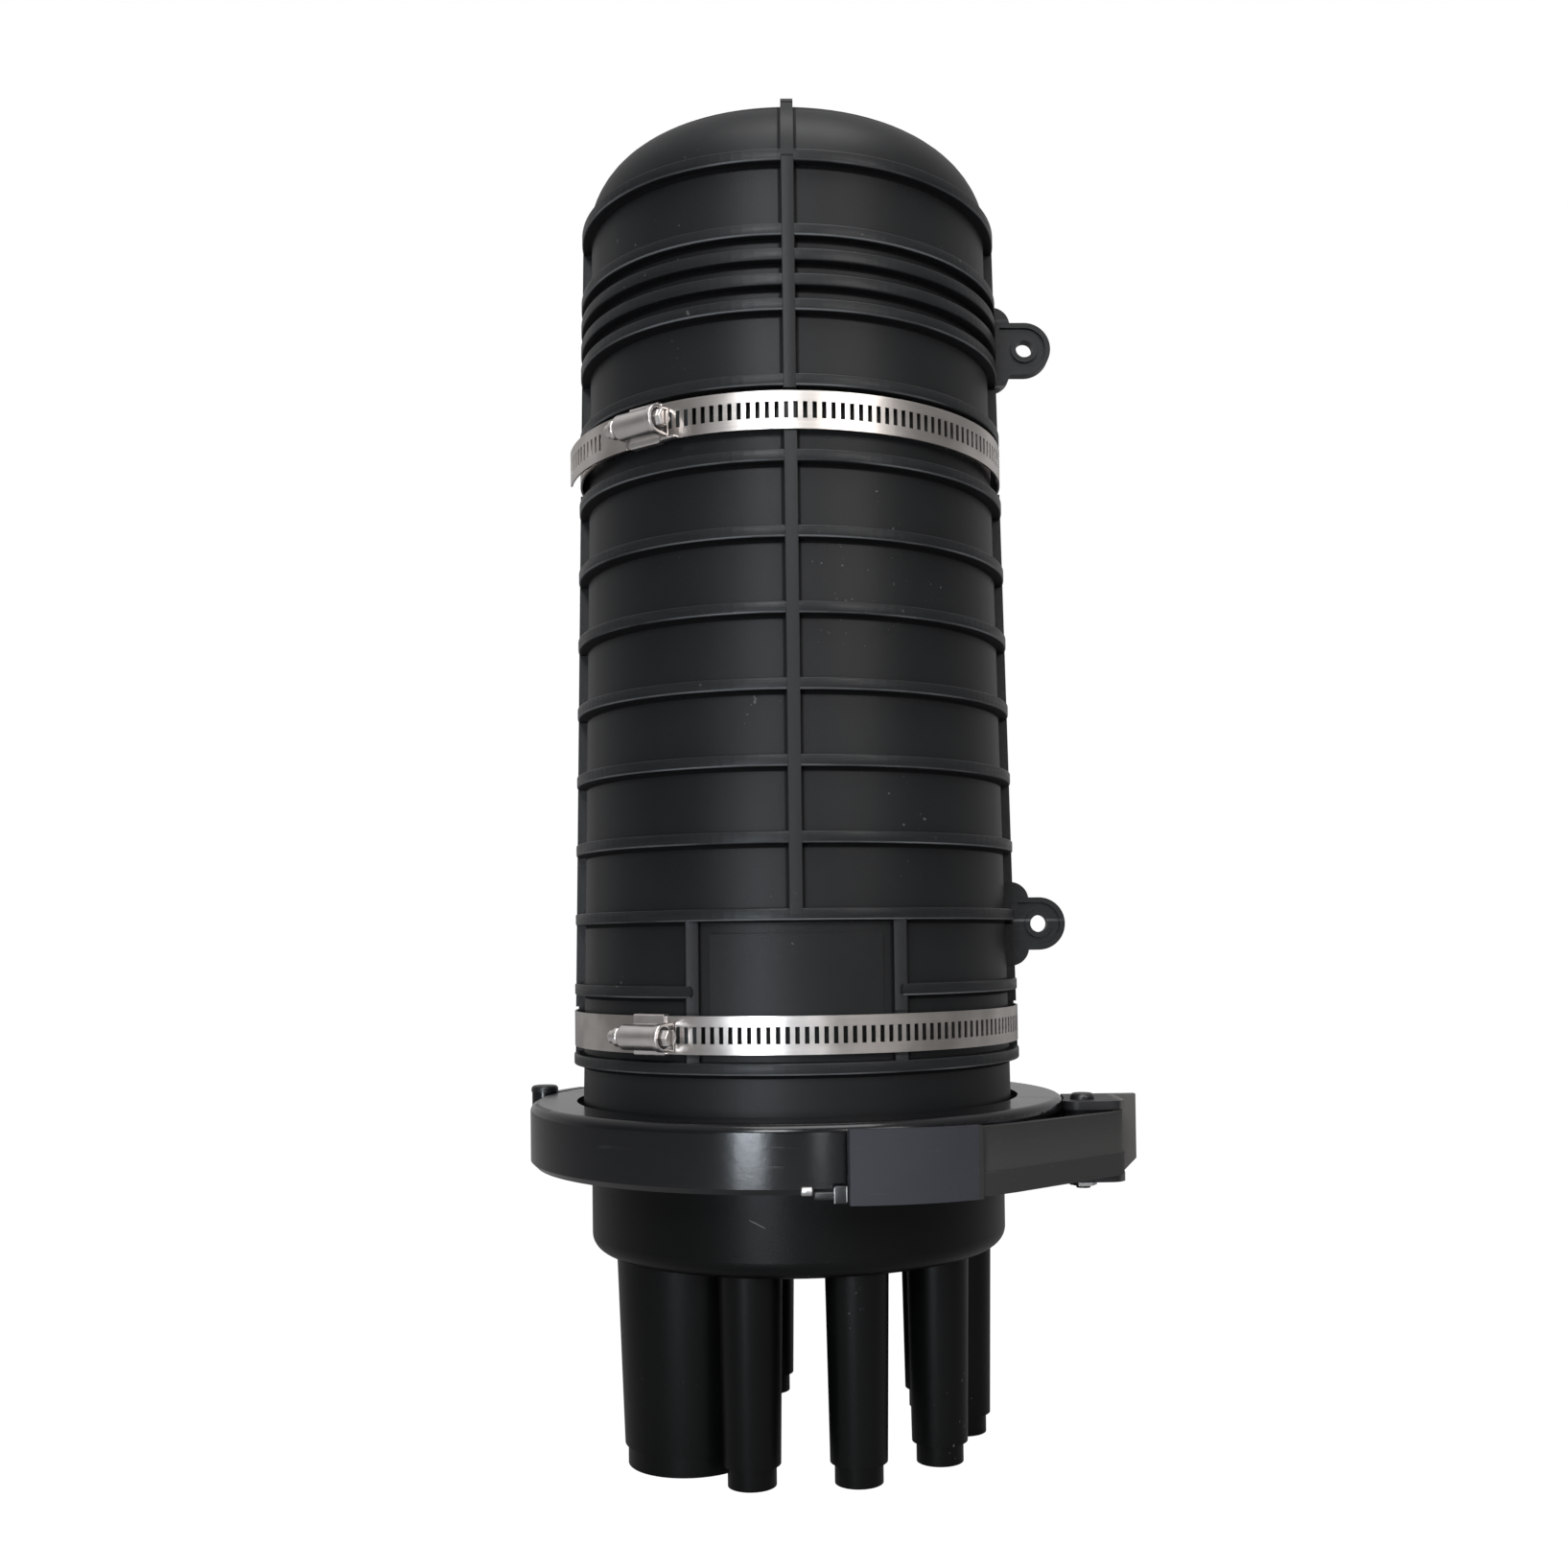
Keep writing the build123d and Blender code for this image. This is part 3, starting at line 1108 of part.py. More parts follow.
# Anchors for the cables' strength members, on the neck above the ports
ANCHOR_SPOTS = [FLOOR_TOP + ANCHOR_FIRST + index * ANCHOR_PITCH for index in range(ANCHOR_COUNT)]
with BuildPart() as strength_anchors:
    for height in ANCHOR_SPOTS:
        with BuildSketch(Plane.XY.offset(height)):
            with Locations((FOOT_CENTRE, NECK_DEPTH / 2)):
                Rectangle(ANCHOR_SIZE, ANCHOR_SIZE, align=(Align.CENTER, Align.MIN))
            with Locations((FOOT_CENTRE, NECK_DEPTH / 2 + ANCHOR_SIZE / 2)):
                Circle(ANCHOR_SIZE / 4, mode=Mode.SUBTRACT)
        extrude(amount=ANCHOR_SIZE)
save(strength_anchors.part, "strength_anchors")

with BuildPart() as anchor_screws:
    for height in ANCHOR_SPOTS:
        with BuildSketch(Plane.XZ.offset(-NECK_DEPTH / 2 - ANCHOR_SIZE)):
            with Locations((FOOT_CENTRE, height + ANCHOR_SIZE / 2)):
                Circle(ANCHOR_SIZE / 3)
        extrude(amount=-ANCHOR_SIZE / 4)
save(anchor_screws.part, "anchor_screws")
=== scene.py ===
import math

import bmesh
import bpy
from mathutils import Matrix, Vector


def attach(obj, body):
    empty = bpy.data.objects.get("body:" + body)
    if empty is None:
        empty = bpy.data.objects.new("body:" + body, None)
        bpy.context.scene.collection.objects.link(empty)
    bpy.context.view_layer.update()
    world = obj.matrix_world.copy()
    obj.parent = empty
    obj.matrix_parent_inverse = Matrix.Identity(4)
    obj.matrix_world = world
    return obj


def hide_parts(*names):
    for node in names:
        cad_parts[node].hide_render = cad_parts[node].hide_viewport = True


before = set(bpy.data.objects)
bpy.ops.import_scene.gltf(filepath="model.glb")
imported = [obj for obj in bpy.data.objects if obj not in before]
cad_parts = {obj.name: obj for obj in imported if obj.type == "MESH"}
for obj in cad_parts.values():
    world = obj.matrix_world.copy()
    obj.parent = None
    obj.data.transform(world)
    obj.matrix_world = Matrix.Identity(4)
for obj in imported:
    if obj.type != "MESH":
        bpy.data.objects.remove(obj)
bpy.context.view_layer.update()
scene = bpy.context.scene
scene.view_settings.view_transform = "Standard"

# Camera: it stands at bench height a little over half a metre in front of the closure,
# nearly level, with the frame shifted to hold the dome and the ports together.
CAMERA_PLACE = (0, -0.6095, 0.1824)
CAMERA_YAW = math.radians(-1.58)
CAMERA_PITCH = math.radians(1.33)
CAMERA_ROLL = math.radians(-0.72)
bpy.ops.object.camera_add(location=CAMERA_PLACE)
camera = bpy.context.object
turn = Matrix.Rotation(CAMERA_YAW, 3, "Z") @ Matrix.Rotation(math.pi / 2 + CAMERA_PITCH, 3, "X")
camera.rotation_euler = (turn @ Matrix.Rotation(CAMERA_ROLL, 3, "Z")).to_euler()
camera.data.sensor_width = 36
camera.data.lens = 37.14
camera.data.shift_x = -0.036
camera.data.shift_y = 0.0776
camera.data.clip_start = 0.01
scene.camera = camera


# Studio: a pale floor that holds the shadow, a white surround that the camera and the
# reflections see, and five soft lamps. Its materials are made with the small class below.
class Value:
    """A shader socket that takes part in Python arithmetic."""

    def __init__(self, tree, socket):
        self.tree = tree
        self.socket = socket

    def node(self, kind, settings, inputs, output=0):
        made = self.tree.nodes.new(kind)
        for name, setting in settings.items():
            setattr(made, name, setting)
        for key, given in inputs.items():
            if isinstance(given, Value):
                self.tree.links.new(given.socket, made.inputs[key])
            else:
                made.inputs[key].default_value = given
        return Value(self.tree, made.outputs[output])

    def maths(self, operation, *terms):
        return self.node("ShaderNodeMath", {"operation": operation}, dict(enumerate(terms)))

    def __add__(self, other):
        return self.maths("ADD", self, other)

    def __radd__(self, other):
        return self.maths("ADD", other, self)

    def __sub__(self, other):
        return self.maths("SUBTRACT", self, other)

    def __rsub__(self, other):
        return self.maths("SUBTRACT", other, self)

    def __mul__(self, other):
        return self.maths("MULTIPLY", self, other)

    def unsigned(self):
        return self.maths("ABSOLUTE", self)

    def off_whole(self):
        # How far the value is from the nearest whole number
        return (self - self.maths("ROUND", self)).unsigned()

    def component(self, axis):
        return self.node("ShaderNodeSeparateXYZ", {}, {0: self}, axis)

    def within(self, low, high):
        # 0 below low, 1 above high, smooth between them
        settings = {"interpolation_type": "SMOOTHSTEP"}
        return self.node("ShaderNodeMapRange", settings, {0: self, 1: low, 2: high, 3: 0.0, 4: 1.0})

    def stretched(self, scale):
        return self.node("ShaderNodeMapping", {}, {"Vector": self, "Scale": scale})

    def noise(self, scale, detail=2.0, rough=0.5):
        inputs = {"Vector": self, "Scale": scale, "Detail": detail, "Roughness": rough}
        return self.node("ShaderNodeTexNoise", {}, inputs)

    def mixed(self, first, second):
        # Two colours, or values linked as colours, mixed by this value
        return self.node("ShaderNodeMix", {"data_type": "RGBA"}, {0: self, 6: first, 7: second}, 2)

    def bump(self, strength, distance, below=None):
        inputs = {"Height": self, "Strength": strength, "Distance": distance}
        if below is not None:
            inputs["Normal"] = below
        return self.node("ShaderNodeBump", {}, inputs)


def new_material(name):
    material = bpy.data.materials.new(name)
    material.use_nodes = True
    shader = material.node_tree.nodes["Principled BSDF"]
    coordinates = material.node_tree.nodes.new("ShaderNodeTexCoord")
    return material, shader, Value(material.node_tree, coordinates.outputs["Object"])


def feed(shader, **inputs):
    # Puts constants on the shader's sockets and links values to them
    for key, given in inputs.items():
        socket = shader.inputs[key.replace("_", " ")]
        if isinstance(given, Value):
            given.tree.links.new(given.socket, socket)
        else:
            socket.default_value = given


def ray_kinds(tree):
    # 1 for rays from the camera, for reflections and for rays through a clear sheet
    paths = tree.nodes.new("ShaderNodeLightPath")
    return [Value(tree, paths.outputs[f"Is {kind} Ray"]) for kind in ("Camera", "Glossy", "Transmission")]


FLOOR_GLOW = 1.2
GLOW_SEEN = 0.84
GLOW_MIRRORED = 0.12
bpy.ops.mesh.primitive_plane_add(size=6, location=(0, 1, 0))
floor = bpy.context.object
floor.name = "studio_floor"
floor_paint, shader, place = new_material("pale_floor")
grain = place.noise(120, 3)
tone = grain.mixed((0.28, 0.28, 0.28, 1), (0.33, 0.33, 0.33, 1))
feed(shader, Base_Color=tone, Roughness=0.6, Specular_IOR_Level=0.2)
seen, mirrored, through = ray_kinds(floor_paint.node_tree)
glow = place.node("ShaderNodeEmission", {}, {"Color": (1, 1, 1, 1), "Strength": FLOOR_GLOW})
share = (seen + through) * GLOW_SEEN + mirrored * GLOW_MIRRORED
surface = Value(floor_paint.node_tree, shader.outputs["BSDF"])
both = place.node("ShaderNodeMixShader", {}, {0: share, 1: surface, 2: glow})
output = floor_paint.node_tree.nodes["Material Output"]
floor_paint.node_tree.links.new(both.socket, output.inputs["Surface"])
floor.data.materials.append(floor_paint)

ROOM_LEVEL = 0.13
FRONT_REFLECTION = 0.14
UPPER_REFLECTION = 0.55
BACK_REFLECTION = 0.46
world = bpy.data.worlds.new("studio_surround")
scene.world = world
world.use_nodes = True
sky = world.node_tree.nodes["Background"]
seen, mirrored, through = ray_kinds(world.node_tree)
coordinates = world.node_tree.nodes.new("ShaderNodeTexCoord")
direction = Value(world.node_tree, coordinates.outputs["Generated"])
behind = direction.component(1).within(-0.2, 0.6)
rising = direction.component(2).within(0.25, 0.9)
level_light = behind.mixed((FRONT_REFLECTION,) * 3 + (1,), (BACK_REFLECTION,) * 3 + (1,))
reflected = rising.mixed(level_light, (UPPER_REFLECTION,) * 3 + (1,))
around = mirrored.mixed((ROOM_LEVEL, ROOM_LEVEL, ROOM_LEVEL * 1.04, 1), reflected)
colour = seen.maths("MINIMUM", seen + through, 1.0).mixed(around, (1, 1, 1, 1))
world.node_tree.links.new(colour.socket, sky.inputs["Color"])


def soft_lamp(name, place, target, size, watts, tint):
    bpy.ops.object.light_add(type="AREA", location=place)
    lamp = bpy.context.object
    lamp.name = name
    lamp.rotation_euler = (Vector(place) - Vector(target)).to_track_quat("Z", "Y").to_euler()
    lamp.data.shape = "RECTANGLE"
    lamp.data.size = size[0]
    lamp.data.size_y = size[1]
    lamp.data.energy = watts
    lamp.data.color = tint
    lamp.visible_camera = False


soft_lamp("lamp_above", (0.1, -0.5, 1.5), (0, 0, 0.3), (1.0, 0.7), 11, (1, 1, 1))
soft_lamp("lamp_front", (-0.30, -1.45, 1.0), (0, 0, 0.25), (0.40, 0.45), 10, (0.95, 0.98, 1))
soft_lamp("lamp_window", (-0.285, -0.84, 0.12), (0, 0, 0.11), (0.17, 0.23), 2.3, (0.84, 0.92, 1))
soft_lamp("lamp_right", (0.8, -1.3, 0.8), (0, 0, 0.2), (0.7, 0.6), 7, (1, 0.98, 0.96))
soft_lamp("lamp_slit", (0.13, -0.88, 0.12), (0, 0, 0.11), (0.07, 0.23), 0.2, (0.9, 0.95, 1))


# Base: a cup moulded in black polypropylene, with its flange and its cable ports
# moulded on. The ports are closed tubes that are sawn open for each cable.
GRAIN_DEPTH = 0.00006


def moulded(name, tone, rough, specular=0.22):
    material, shader, place = new_material(name)
    mottle = place.noise(14, 4)
    flow = place.stretched((90, 90, 7)).noise(1, 3)
    spark = place.noise(2400, 2)
    dust = place.noise(520, 1).within(0.735, 0.76) * place.noise(23, 2).within(0.58, 0.66)
    dark = tuple(part * 0.86 for part in tone) + (1,)
    light = tuple(part * 1.16 for part in tone) + (1,)
    ground = mottle.within(0.35, 0.65).mixed(dark, light)
    colour = (dust * 0.4).mixed(ground, (0.16, 0.16, 0.15, 1))
    polish = rough + (mottle - 0.5) * 0.10 + (flow - 0.5) * 0.08
    feed(shader, Base_Color=colour, Roughness=polish, Specular_IOR_Level=specular)
    feed(shader, Normal=spark.bump(0.5, GRAIN_DEPTH))
    return material, shader, place, colour, polish


def finish_node(name, material):
    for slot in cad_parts[name].material_slots:
        slot.material = material


# The base takes a far darker copy of the dome's black plastic, painted shade on the lower parts.
# One short pale scratch crosses the front of the cup
BASE_SHADED_TONE = (0.0018, 0.0022, 0.0020)
SCRATCH_START = (-0.0169, 0.0919)
SCRATCH_RUN = (0.897, -0.442)
SCRATCH_LENGTH = 0.0070
base_black, shader, place, colour, polish = moulded("base_black", BASE_SHADED_TONE, 0.36, 0.16)
across = place.component(0) - SCRATCH_START[0]
inward = place.component(1)
upward = place.component(2) - SCRATCH_START[1]
along = across * SCRATCH_RUN[0] + upward * SCRATCH_RUN[1]
off = (across * SCRATCH_RUN[1] - upward * SCRATCH_RUN[0]).unsigned()
scratch = (1 - off.within(0.00008, 0.00022)) * along.within(0, 0.001)
scratch = scratch * (SCRATCH_LENGTH - along).within(0, 0.002) * (0 - inward).within(0.069, 0.071)
feed(shader, Base_Color=(scratch * 0.7).mixed(colour, (0.20, 0.19, 0.17, 1)))
for node in ("base_body", "base_flange", "round_ports", "oval_port"):
    finish_node(node, base_black)

# Seal: a moulded rubber ring that lies in the groove of the base flange.
seal_rubber, shader, place = new_material("seal_rubber")
bloom = place.noise(60, 4)
feed(shader, Base_Color=bloom.mixed((0.012, 0.012, 0.013, 1), (0.03, 0.03, 0.031, 1)))
feed(shader, Roughness=0.42 + bloom * 0.2, Normal=place.noise(900, 2).bump(0.3, 0.00005))
finish_node("seal_ring", seal_rubber)

# Carrier: folded aluminium sheet that stands on the floor of the base on four screws.
# The rolling marks run up the sheet.
carrier_sheet, shader, place = new_material("carrier_sheet")
rolled = place.stretched((900, 900, 12)).noise(1, 3)
feed(shader, Base_Color=rolled.mixed((0.52, 0.53, 0.54, 1), (0.66, 0.67, 0.68, 1)), Metallic=1.0)
feed(shader, Roughness=0.30 + rolled * 0.16, Normal=rolled.bump(0.2, 0.00002))
for node in ("carrier_frame", "strength_anchors"):
    finish_node(node, carrier_sheet)

# Splice trays: six moulded leaves on steel pins, with their seat, a slack basket and a clear
# sheet over the front one. A woven strap holds them shut.
tray_plastic, shader, place = new_material("tray_plastic")
haze = place.noise(25, 4)
feed(shader, Base_Color=haze.mixed((0.40, 0.41, 0.42, 1), (0.50, 0.51, 0.52, 1)), Specular_IOR_Level=0.4)
feed(shader, Roughness=0.42 + haze * 0.12, Normal=place.noise(1600, 2).bump(0.4, 0.00004))
for index in range(1, 7):
    finish_node(f"splice_tray_{index}", tray_plastic)
for node in ("tray_hinge_seat", "slack_basket"):
    finish_node(node, tray_plastic)

cover_sheet, shader, place = new_material("cover_sheet")
smear = place.stretched((8, 8, 30)).noise(1, 3)
feed(shader, Base_Color=smear.mixed((0.80, 0.83, 0.85, 1), (0.88, 0.9, 0.91, 1)))
feed(shader, Roughness=0.08 + smear * 0.12, Alpha=0.28 + smear * 0.12)
finish_node("tray_cover", cover_sheet)

strap_weave, shader, place = new_material("strap_weave")
weave = {"Scale": 380.0, "Distortion": 0.6}
rib = place.node("ShaderNodeTexWave", {"bands_direction": "Z"}, weave)
fluff = place.noise(1500, 3)
feed(shader, Base_Color=fluff.mixed((0.010, 0.010, 0.011, 1), (0.035, 0.035, 0.037, 1)))
feed(shader, Roughness=0.75 + fluff * 0.2, Normal=(rib + fluff * 0.6).bump(0.6, 0.0002))
finish_node("tray_strap", strap_weave)

turned_steel, shader, place = new_material("turned_steel")
lines = place.noise(700, 3)
feed(shader, Base_Color=lines.mixed((0.46, 0.46, 0.45, 1), (0.60, 0.60, 0.59, 1)), Metallic=1.0)
feed(shader, Roughness=0.28 + lines * 0.14, Normal=lines.bump(0.15, 0.00002))
for node in ("carrier_screws", "tray_hinge_pins", "anchor_screws", "crank_pin", "pivot_nut"):
    finish_node(node, turned_steel)

# Dome: one deep moulding in the same black plastic, with hoops, ribs and two lugs. The
# crests of its hoops are rubbed smoother than the walls between them, and their colour is painted paler as
# a painted sheen.
HOOP_PITCH = 0.0253
LOWEST_HOOP = 0.1415
HOOP_COUNT = 13
HOOP_RADIUS = 0.0826
HOOP_DRAFT = 0.018
WINDOW_TOP = LOWEST_HOOP + 2 * HOOP_PITCH
WINDOW_RIB = 0.0345
WINDOW_BARE = (0.15, 0.19)
CLOSE_HOOPS = (0.394, 0.418)
CREST_TOP = 0.448
HIGHLIGHT_DROP = 0.0019
SHADE_DROP = 0.00265
RIB_CORNER = 0.0027
DOME_TONE = (0.0088, 0.0095, 0.0098)
RIB_LIT_TONE = (0.0105, 0.0112, 0.0116)
dome_black, shader, place, colour, polish = moulded("dome_black", DOME_TONE, 0.44)
level = place.component(2)
flat = place.node("ShaderNodeVectorMath", {"operation": "MULTIPLY"}, {0: place, 1: (1, 1, 0)})
reach = place.node("ShaderNodeVectorMath", {"operation": "LENGTH"}, {0: flat}, 1)
undrafted = reach + (level - LOWEST_HOOP) * HOOP_DRAFT
crest = undrafted.within(HOOP_RADIUS - 0.0006, HOOP_RADIUS) * (CREST_TOP - level).within(0.0, 0.003)
rub = place.stretched((60, 60, 700)).noise(1, 3).within(0.38, 0.66)
rub_and_sheen = crest * (0.35 + rub * 0.65)
# Painted highlight: a thin pale line just above the lower edge of each hoop crest, patchy along its length.
steps = (level - (LOWEST_HOOP - HIGHLIGHT_DROP)) * (1 / HOOP_PITCH)
patchy = place.stretched((22, 22, 300)).noise(1, 3).within(0.30, 0.66)
painted_edge_highlight = crest * (1 - steps.off_whole().within(0.010, 0.024)) * patchy
# Painted sheen: the hoop crests are painted paler where the rub mask falls.
worn = (rub_and_sheen * 0.22).mixed(colour, (0.036, 0.038, 0.040, 1))

# Painted shade: the corners under the hoops, between the close hoops and beside the front ribs are painted
# nearly black and made rougher.
aside = place.component(0).unsigned()
facing = 0 - place.component(1)
under = (level - (LOWEST_HOOP - SHADE_DROP)) * (1 / HOOP_PITCH)
corner = 1 - under.off_whole().within(0.020, 0.032)
window = (WINDOW_RIB - aside).within(0, 0.0005) * facing.within(0, 0.01)
window = window * (WINDOW_BARE[1] - level).within(0, 0.001) * (level - WINDOW_BARE[0]).within(0, 0.001)
between = 1 - (under * 3).off_whole().within(0.060, 0.096)
between = between * (level - CLOSE_HOOPS[0]).within(0, 0.001) * (CLOSE_HOOPS[1] - level).within(0, 0.001)
beside = 1 - (aside - RIB_CORNER).unsigned().within(0.0003, 0.0007)
beside = beside * (level - WINDOW_TOP).within(0, 0.001)
flank = 1 - ((aside - WINDOW_RIB).unsigned() - RIB_CORNER).unsigned().within(0.0003, 0.0007)
flank = flank * (WINDOW_TOP - level).within(0, 0.001) * (level - LOWEST_HOOP).within(0, 0.001)
flank = flank.maths("MAXIMUM", beside, flank) * facing.within(0.0, 0.01) * 0.7
corner = corner * (1 - window)
corner = corner.maths("MAXIMUM", between, corner) * (1 - crest)
corner = corner.maths("MAXIMUM", corner, flank * (1 - crest)) * 0.92
# Painted shade: the corner mask takes the colour nearly to black.
worn = corner.mixed(worn, (0.0008, 0.0008, 0.0009, 1))
# The pale lines mixed in here are painted highlights.
feed(shader, Base_Color=(painted_edge_highlight * 0.9).mixed(worn, (0.14, 0.145, 0.15, 1)))
feed(shader, Roughness=polish - rub_and_sheen * 0.10 + corner * 0.45)
# The ribs take a lighter copy of the dome plastic, a painted highlight on their faces.
rib_black = moulded("rib_black", RIB_LIT_TONE, 0.44)[0]
for node in ("dome_cover", "dome_flange", "dome_lugs"):
    finish_node(node, dome_black)

HOOP_PROUD = 0.0034
HOOP_HEIGHT = 0.0040
HOOP_ROUNDING = 0.0005
HOOP_STAND = 0.00018
BURIED = 0.0012
WINDOW_ANGLE = 25.3


def pick(kind, test):
    # Selects only the vertices, edges or faces of the open mesh that pass a test on their middle
    shape = bmesh.from_edit_mesh(bpy.context.edit_object.data)
    bpy.ops.mesh.select_mode(type=kind)
    bpy.ops.mesh.select_all(action="DESELECT")
    for part in {"VERT": shape.verts, "EDGE": shape.edges, "FACE": shape.faces}[kind]:
        corners = [part] if kind == "VERT" else part.verts
        part.select = test(sum((corner.co for corner in corners), Vector()) / len(corners), part)
    shape.select_flush_mode()
    bmesh.update_edit_mesh(bpy.context.edit_object.data)


def set_down(piece):
    bpy.ops.object.transform_apply(location=True, rotation=True, scale=True)
    return piece


def take(*pieces):
    # Selects these pieces alone, with the first one active
    bpy.ops.object.select_all(action="DESELECT")
    for piece in pieces:
        piece.select_set(True)
    bpy.context.view_layer.objects.active = pieces[0]


def joined(name, parts, material, body, node=None, crease=35):
    # Joins the parts into one named piece that rides on a body and may stand in for a CAD node
    take(*parts)
    if len(parts) > 1:
        bpy.ops.object.join()
    piece = bpy.context.object
    piece.name = name
    bpy.ops.object.shade_smooth_by_angle(angle=math.radians(crease))
    piece.data.materials.clear()
    piece.data.materials.append(material)
    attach(piece, body)
    if node:
        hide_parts(node)
    return piece


def spun_hoop(height, gap=0.0):
    # A rounded section, buried in the wall, spun once round the dome
    radius = HOOP_RADIUS - HOOP_DRAFT * (height - LOWEST_HOOP)
    inner = radius - HOOP_PROUD - BURIED
    outer = radius + HOOP_STAND
    bpy.ops.mesh.primitive_plane_add(size=1, rotation=(math.pi / 2, 0, 0))
    hoop = bpy.context.object
    hoop.scale = (outer - inner, HOOP_HEIGHT, 1)
    hoop.location = ((inner + outer) / 2, 0, height)
    set_down(hoop)
    bpy.ops.object.mode_set(mode="EDIT")
    pick("VERT", lambda at, part: at.x > radius)
    bpy.ops.mesh.bevel(offset=HOOP_ROUNDING, segments=3, affect="VERTICES")
    bpy.ops.mesh.select_all(action="SELECT")
    if gap:
        start = math.radians(-90 - gap)
        bpy.ops.transform.rotate(value=-start, orient_axis="Z", center_override=(0, 0, 0))
    bpy.ops.mesh.spin(steps=128, angle=math.radians(360 - 2 * gap), center=(0, 0, 0), axis=(0, 0, 1))
    bpy.ops.mesh.select_all(action="SELECT")
    bpy.ops.mesh.remove_doubles(threshold=0.00001)
    bpy.ops.mesh.normals_make_consistent(inside=False)
    bpy.ops.object.mode_set(mode="OBJECT")
    return hoop


# The second hoop stops at the window, and two more stand close together below the cap
third = LOWEST_HOOP + (HOOP_COUNT - 2) * HOOP_PITCH
heights = [LOWEST_HOOP + index * HOOP_PITCH for index in range(HOOP_COUNT) if index != 1]
heights += [third - HOOP_PITCH / 3, third - 2 * HOOP_PITCH / 3]
hoops = [spun_hoop(height) for height in heights]
hoops.append(spun_hoop(LOWEST_HOOP + HOOP_PITCH, WINDOW_ANGLE))
joined("dome_hoops", hoops, dome_black, "root", None, 40)

RIB_WIDTH = 0.0045
RIB_ROUNDING = 0.0004
RIB_STAND = 0.0002
BAND_CLEAR = 0.0074
CLAMP_HEIGHTS = {"lower": 0.1526, "upper": 0.3590}
TOP_HOOP = LOWEST_HOOP + (HOOP_COUNT - 1) * HOOP_PITCH


def upright_rib(low, high, aside, angle):
    # A bar that leans in with the wall, as proud as the hoops that it crosses
    far_side = abs(aside) + RIB_WIDTH / 2 if aside else 0
    crest = HOOP_RADIUS - HOOP_DRAFT * (low - LOWEST_HOOP) + RIB_STAND
    outer = math.sqrt(crest ** 2 - far_side ** 2)
    depth = HOOP_PROUD + BURIED
    bpy.ops.mesh.primitive_cube_add(size=1, location=(aside, depth / 2 - outer, (low + high) / 2))
    rib = bpy.context.object
    rib.scale = (RIB_WIDTH, depth, high - low)
    set_down(rib)
    bpy.ops.object.mode_set(mode="EDIT")
    pick("VERT", lambda at, part: at.z > high - 0.0001)
    bpy.ops.transform.translate(value=(0, HOOP_DRAFT * (high - low), 0))
    front = depth / 2 - outer + 0.0001

    def outer_upright(at, part):
        first, second = (corner.co for corner in part.verts)
        return abs(first.z - second.z) > 0.001 and first.y < front

    pick("EDGE", outer_upright)
    bpy.ops.mesh.bevel(offset=RIB_ROUNDING, segments=3)
    bpy.ops.object.mode_set(mode="OBJECT")
    rib.rotation_euler = (0, 0, math.radians(angle + 90))
    return set_down(rib)


def rib_runs(low, high):
    # The stretches of a rib that are clear of the clamp bands
    start = low
    for clamp in CLAMP_HEIGHTS.values():
        if start < clamp < high:
            yield start, clamp - BAND_CLEAR
            start = clamp + BAND_CLEAR
    yield start, high


uprights = [(-90, 0, WINDOW_TOP, TOP_HOOP), (90, 0, LOWEST_HOOP, TOP_HOOP)]
uprights += [(angle, 0, LOWEST_HOOP, TOP_HOOP) for angle in (0, 180)]
uprights += [(-90, aside, LOWEST_HOOP, WINDOW_TOP) for aside in (-WINDOW_RIB, WINDOW_RIB)]
ribs = []
for angle, aside, low, high in uprights:
    for start, end in rib_runs(low, high):
        ribs.append(upright_rib(start, end, aside, angle))
joined("dome_ribs", ribs, rib_black, "root", None, 40)

# Clamp ring: a stiff gloss-black channel in two halves on one upright pin at the back left.
# It draws the two flanges together on the seal.
ring_gloss, shader, place = new_material("ring_gloss")
peel = place.noise(330, 3)
speck = place.noise(1500, 2)
swirl = place.noise(18, 4)
scuff = place.stretched((35, 35, 500)).noise(1, 4).within(0.60, 0.75)
ground = swirl.mixed((0.0042, 0.0046, 0.0052, 1), (0.0062, 0.0066, 0.0074, 1))
feed(shader, Base_Color=(scuff * 0.25).mixed(ground, (0.05, 0.05, 0.052, 1)), Specular_IOR_Level=0.38)
feed(shader, Roughness=0.13 + speck * 0.08 + scuff * 0.12)
feed(shader, Normal=speck.bump(0.22, 0.00003, peel.bump(0.22, 0.0001)))
for node in ("front_ring_half", "rear_ring_half"):
    finish_node(node, ring_gloss)

pin_black, shader, place = new_material("pin_black")
worn = place.noise(420, 4).within(0.52, 0.7)
feed(shader, Base_Color=(worn * 0.4).mixed((0.012, 0.012, 0.013, 1), (0.10, 0.10, 0.10, 1)))
feed(shader, Roughness=0.34 + worn * 0.15, Metallic=worn * 0.3)
feed(shader, Normal=place.noise(1300, 2).bump(0.3, 0.00004))
for node in ("hinge_pin", "pivot_pin_upper", "pivot_pin_lower"):
    finish_node(node, pin_black)

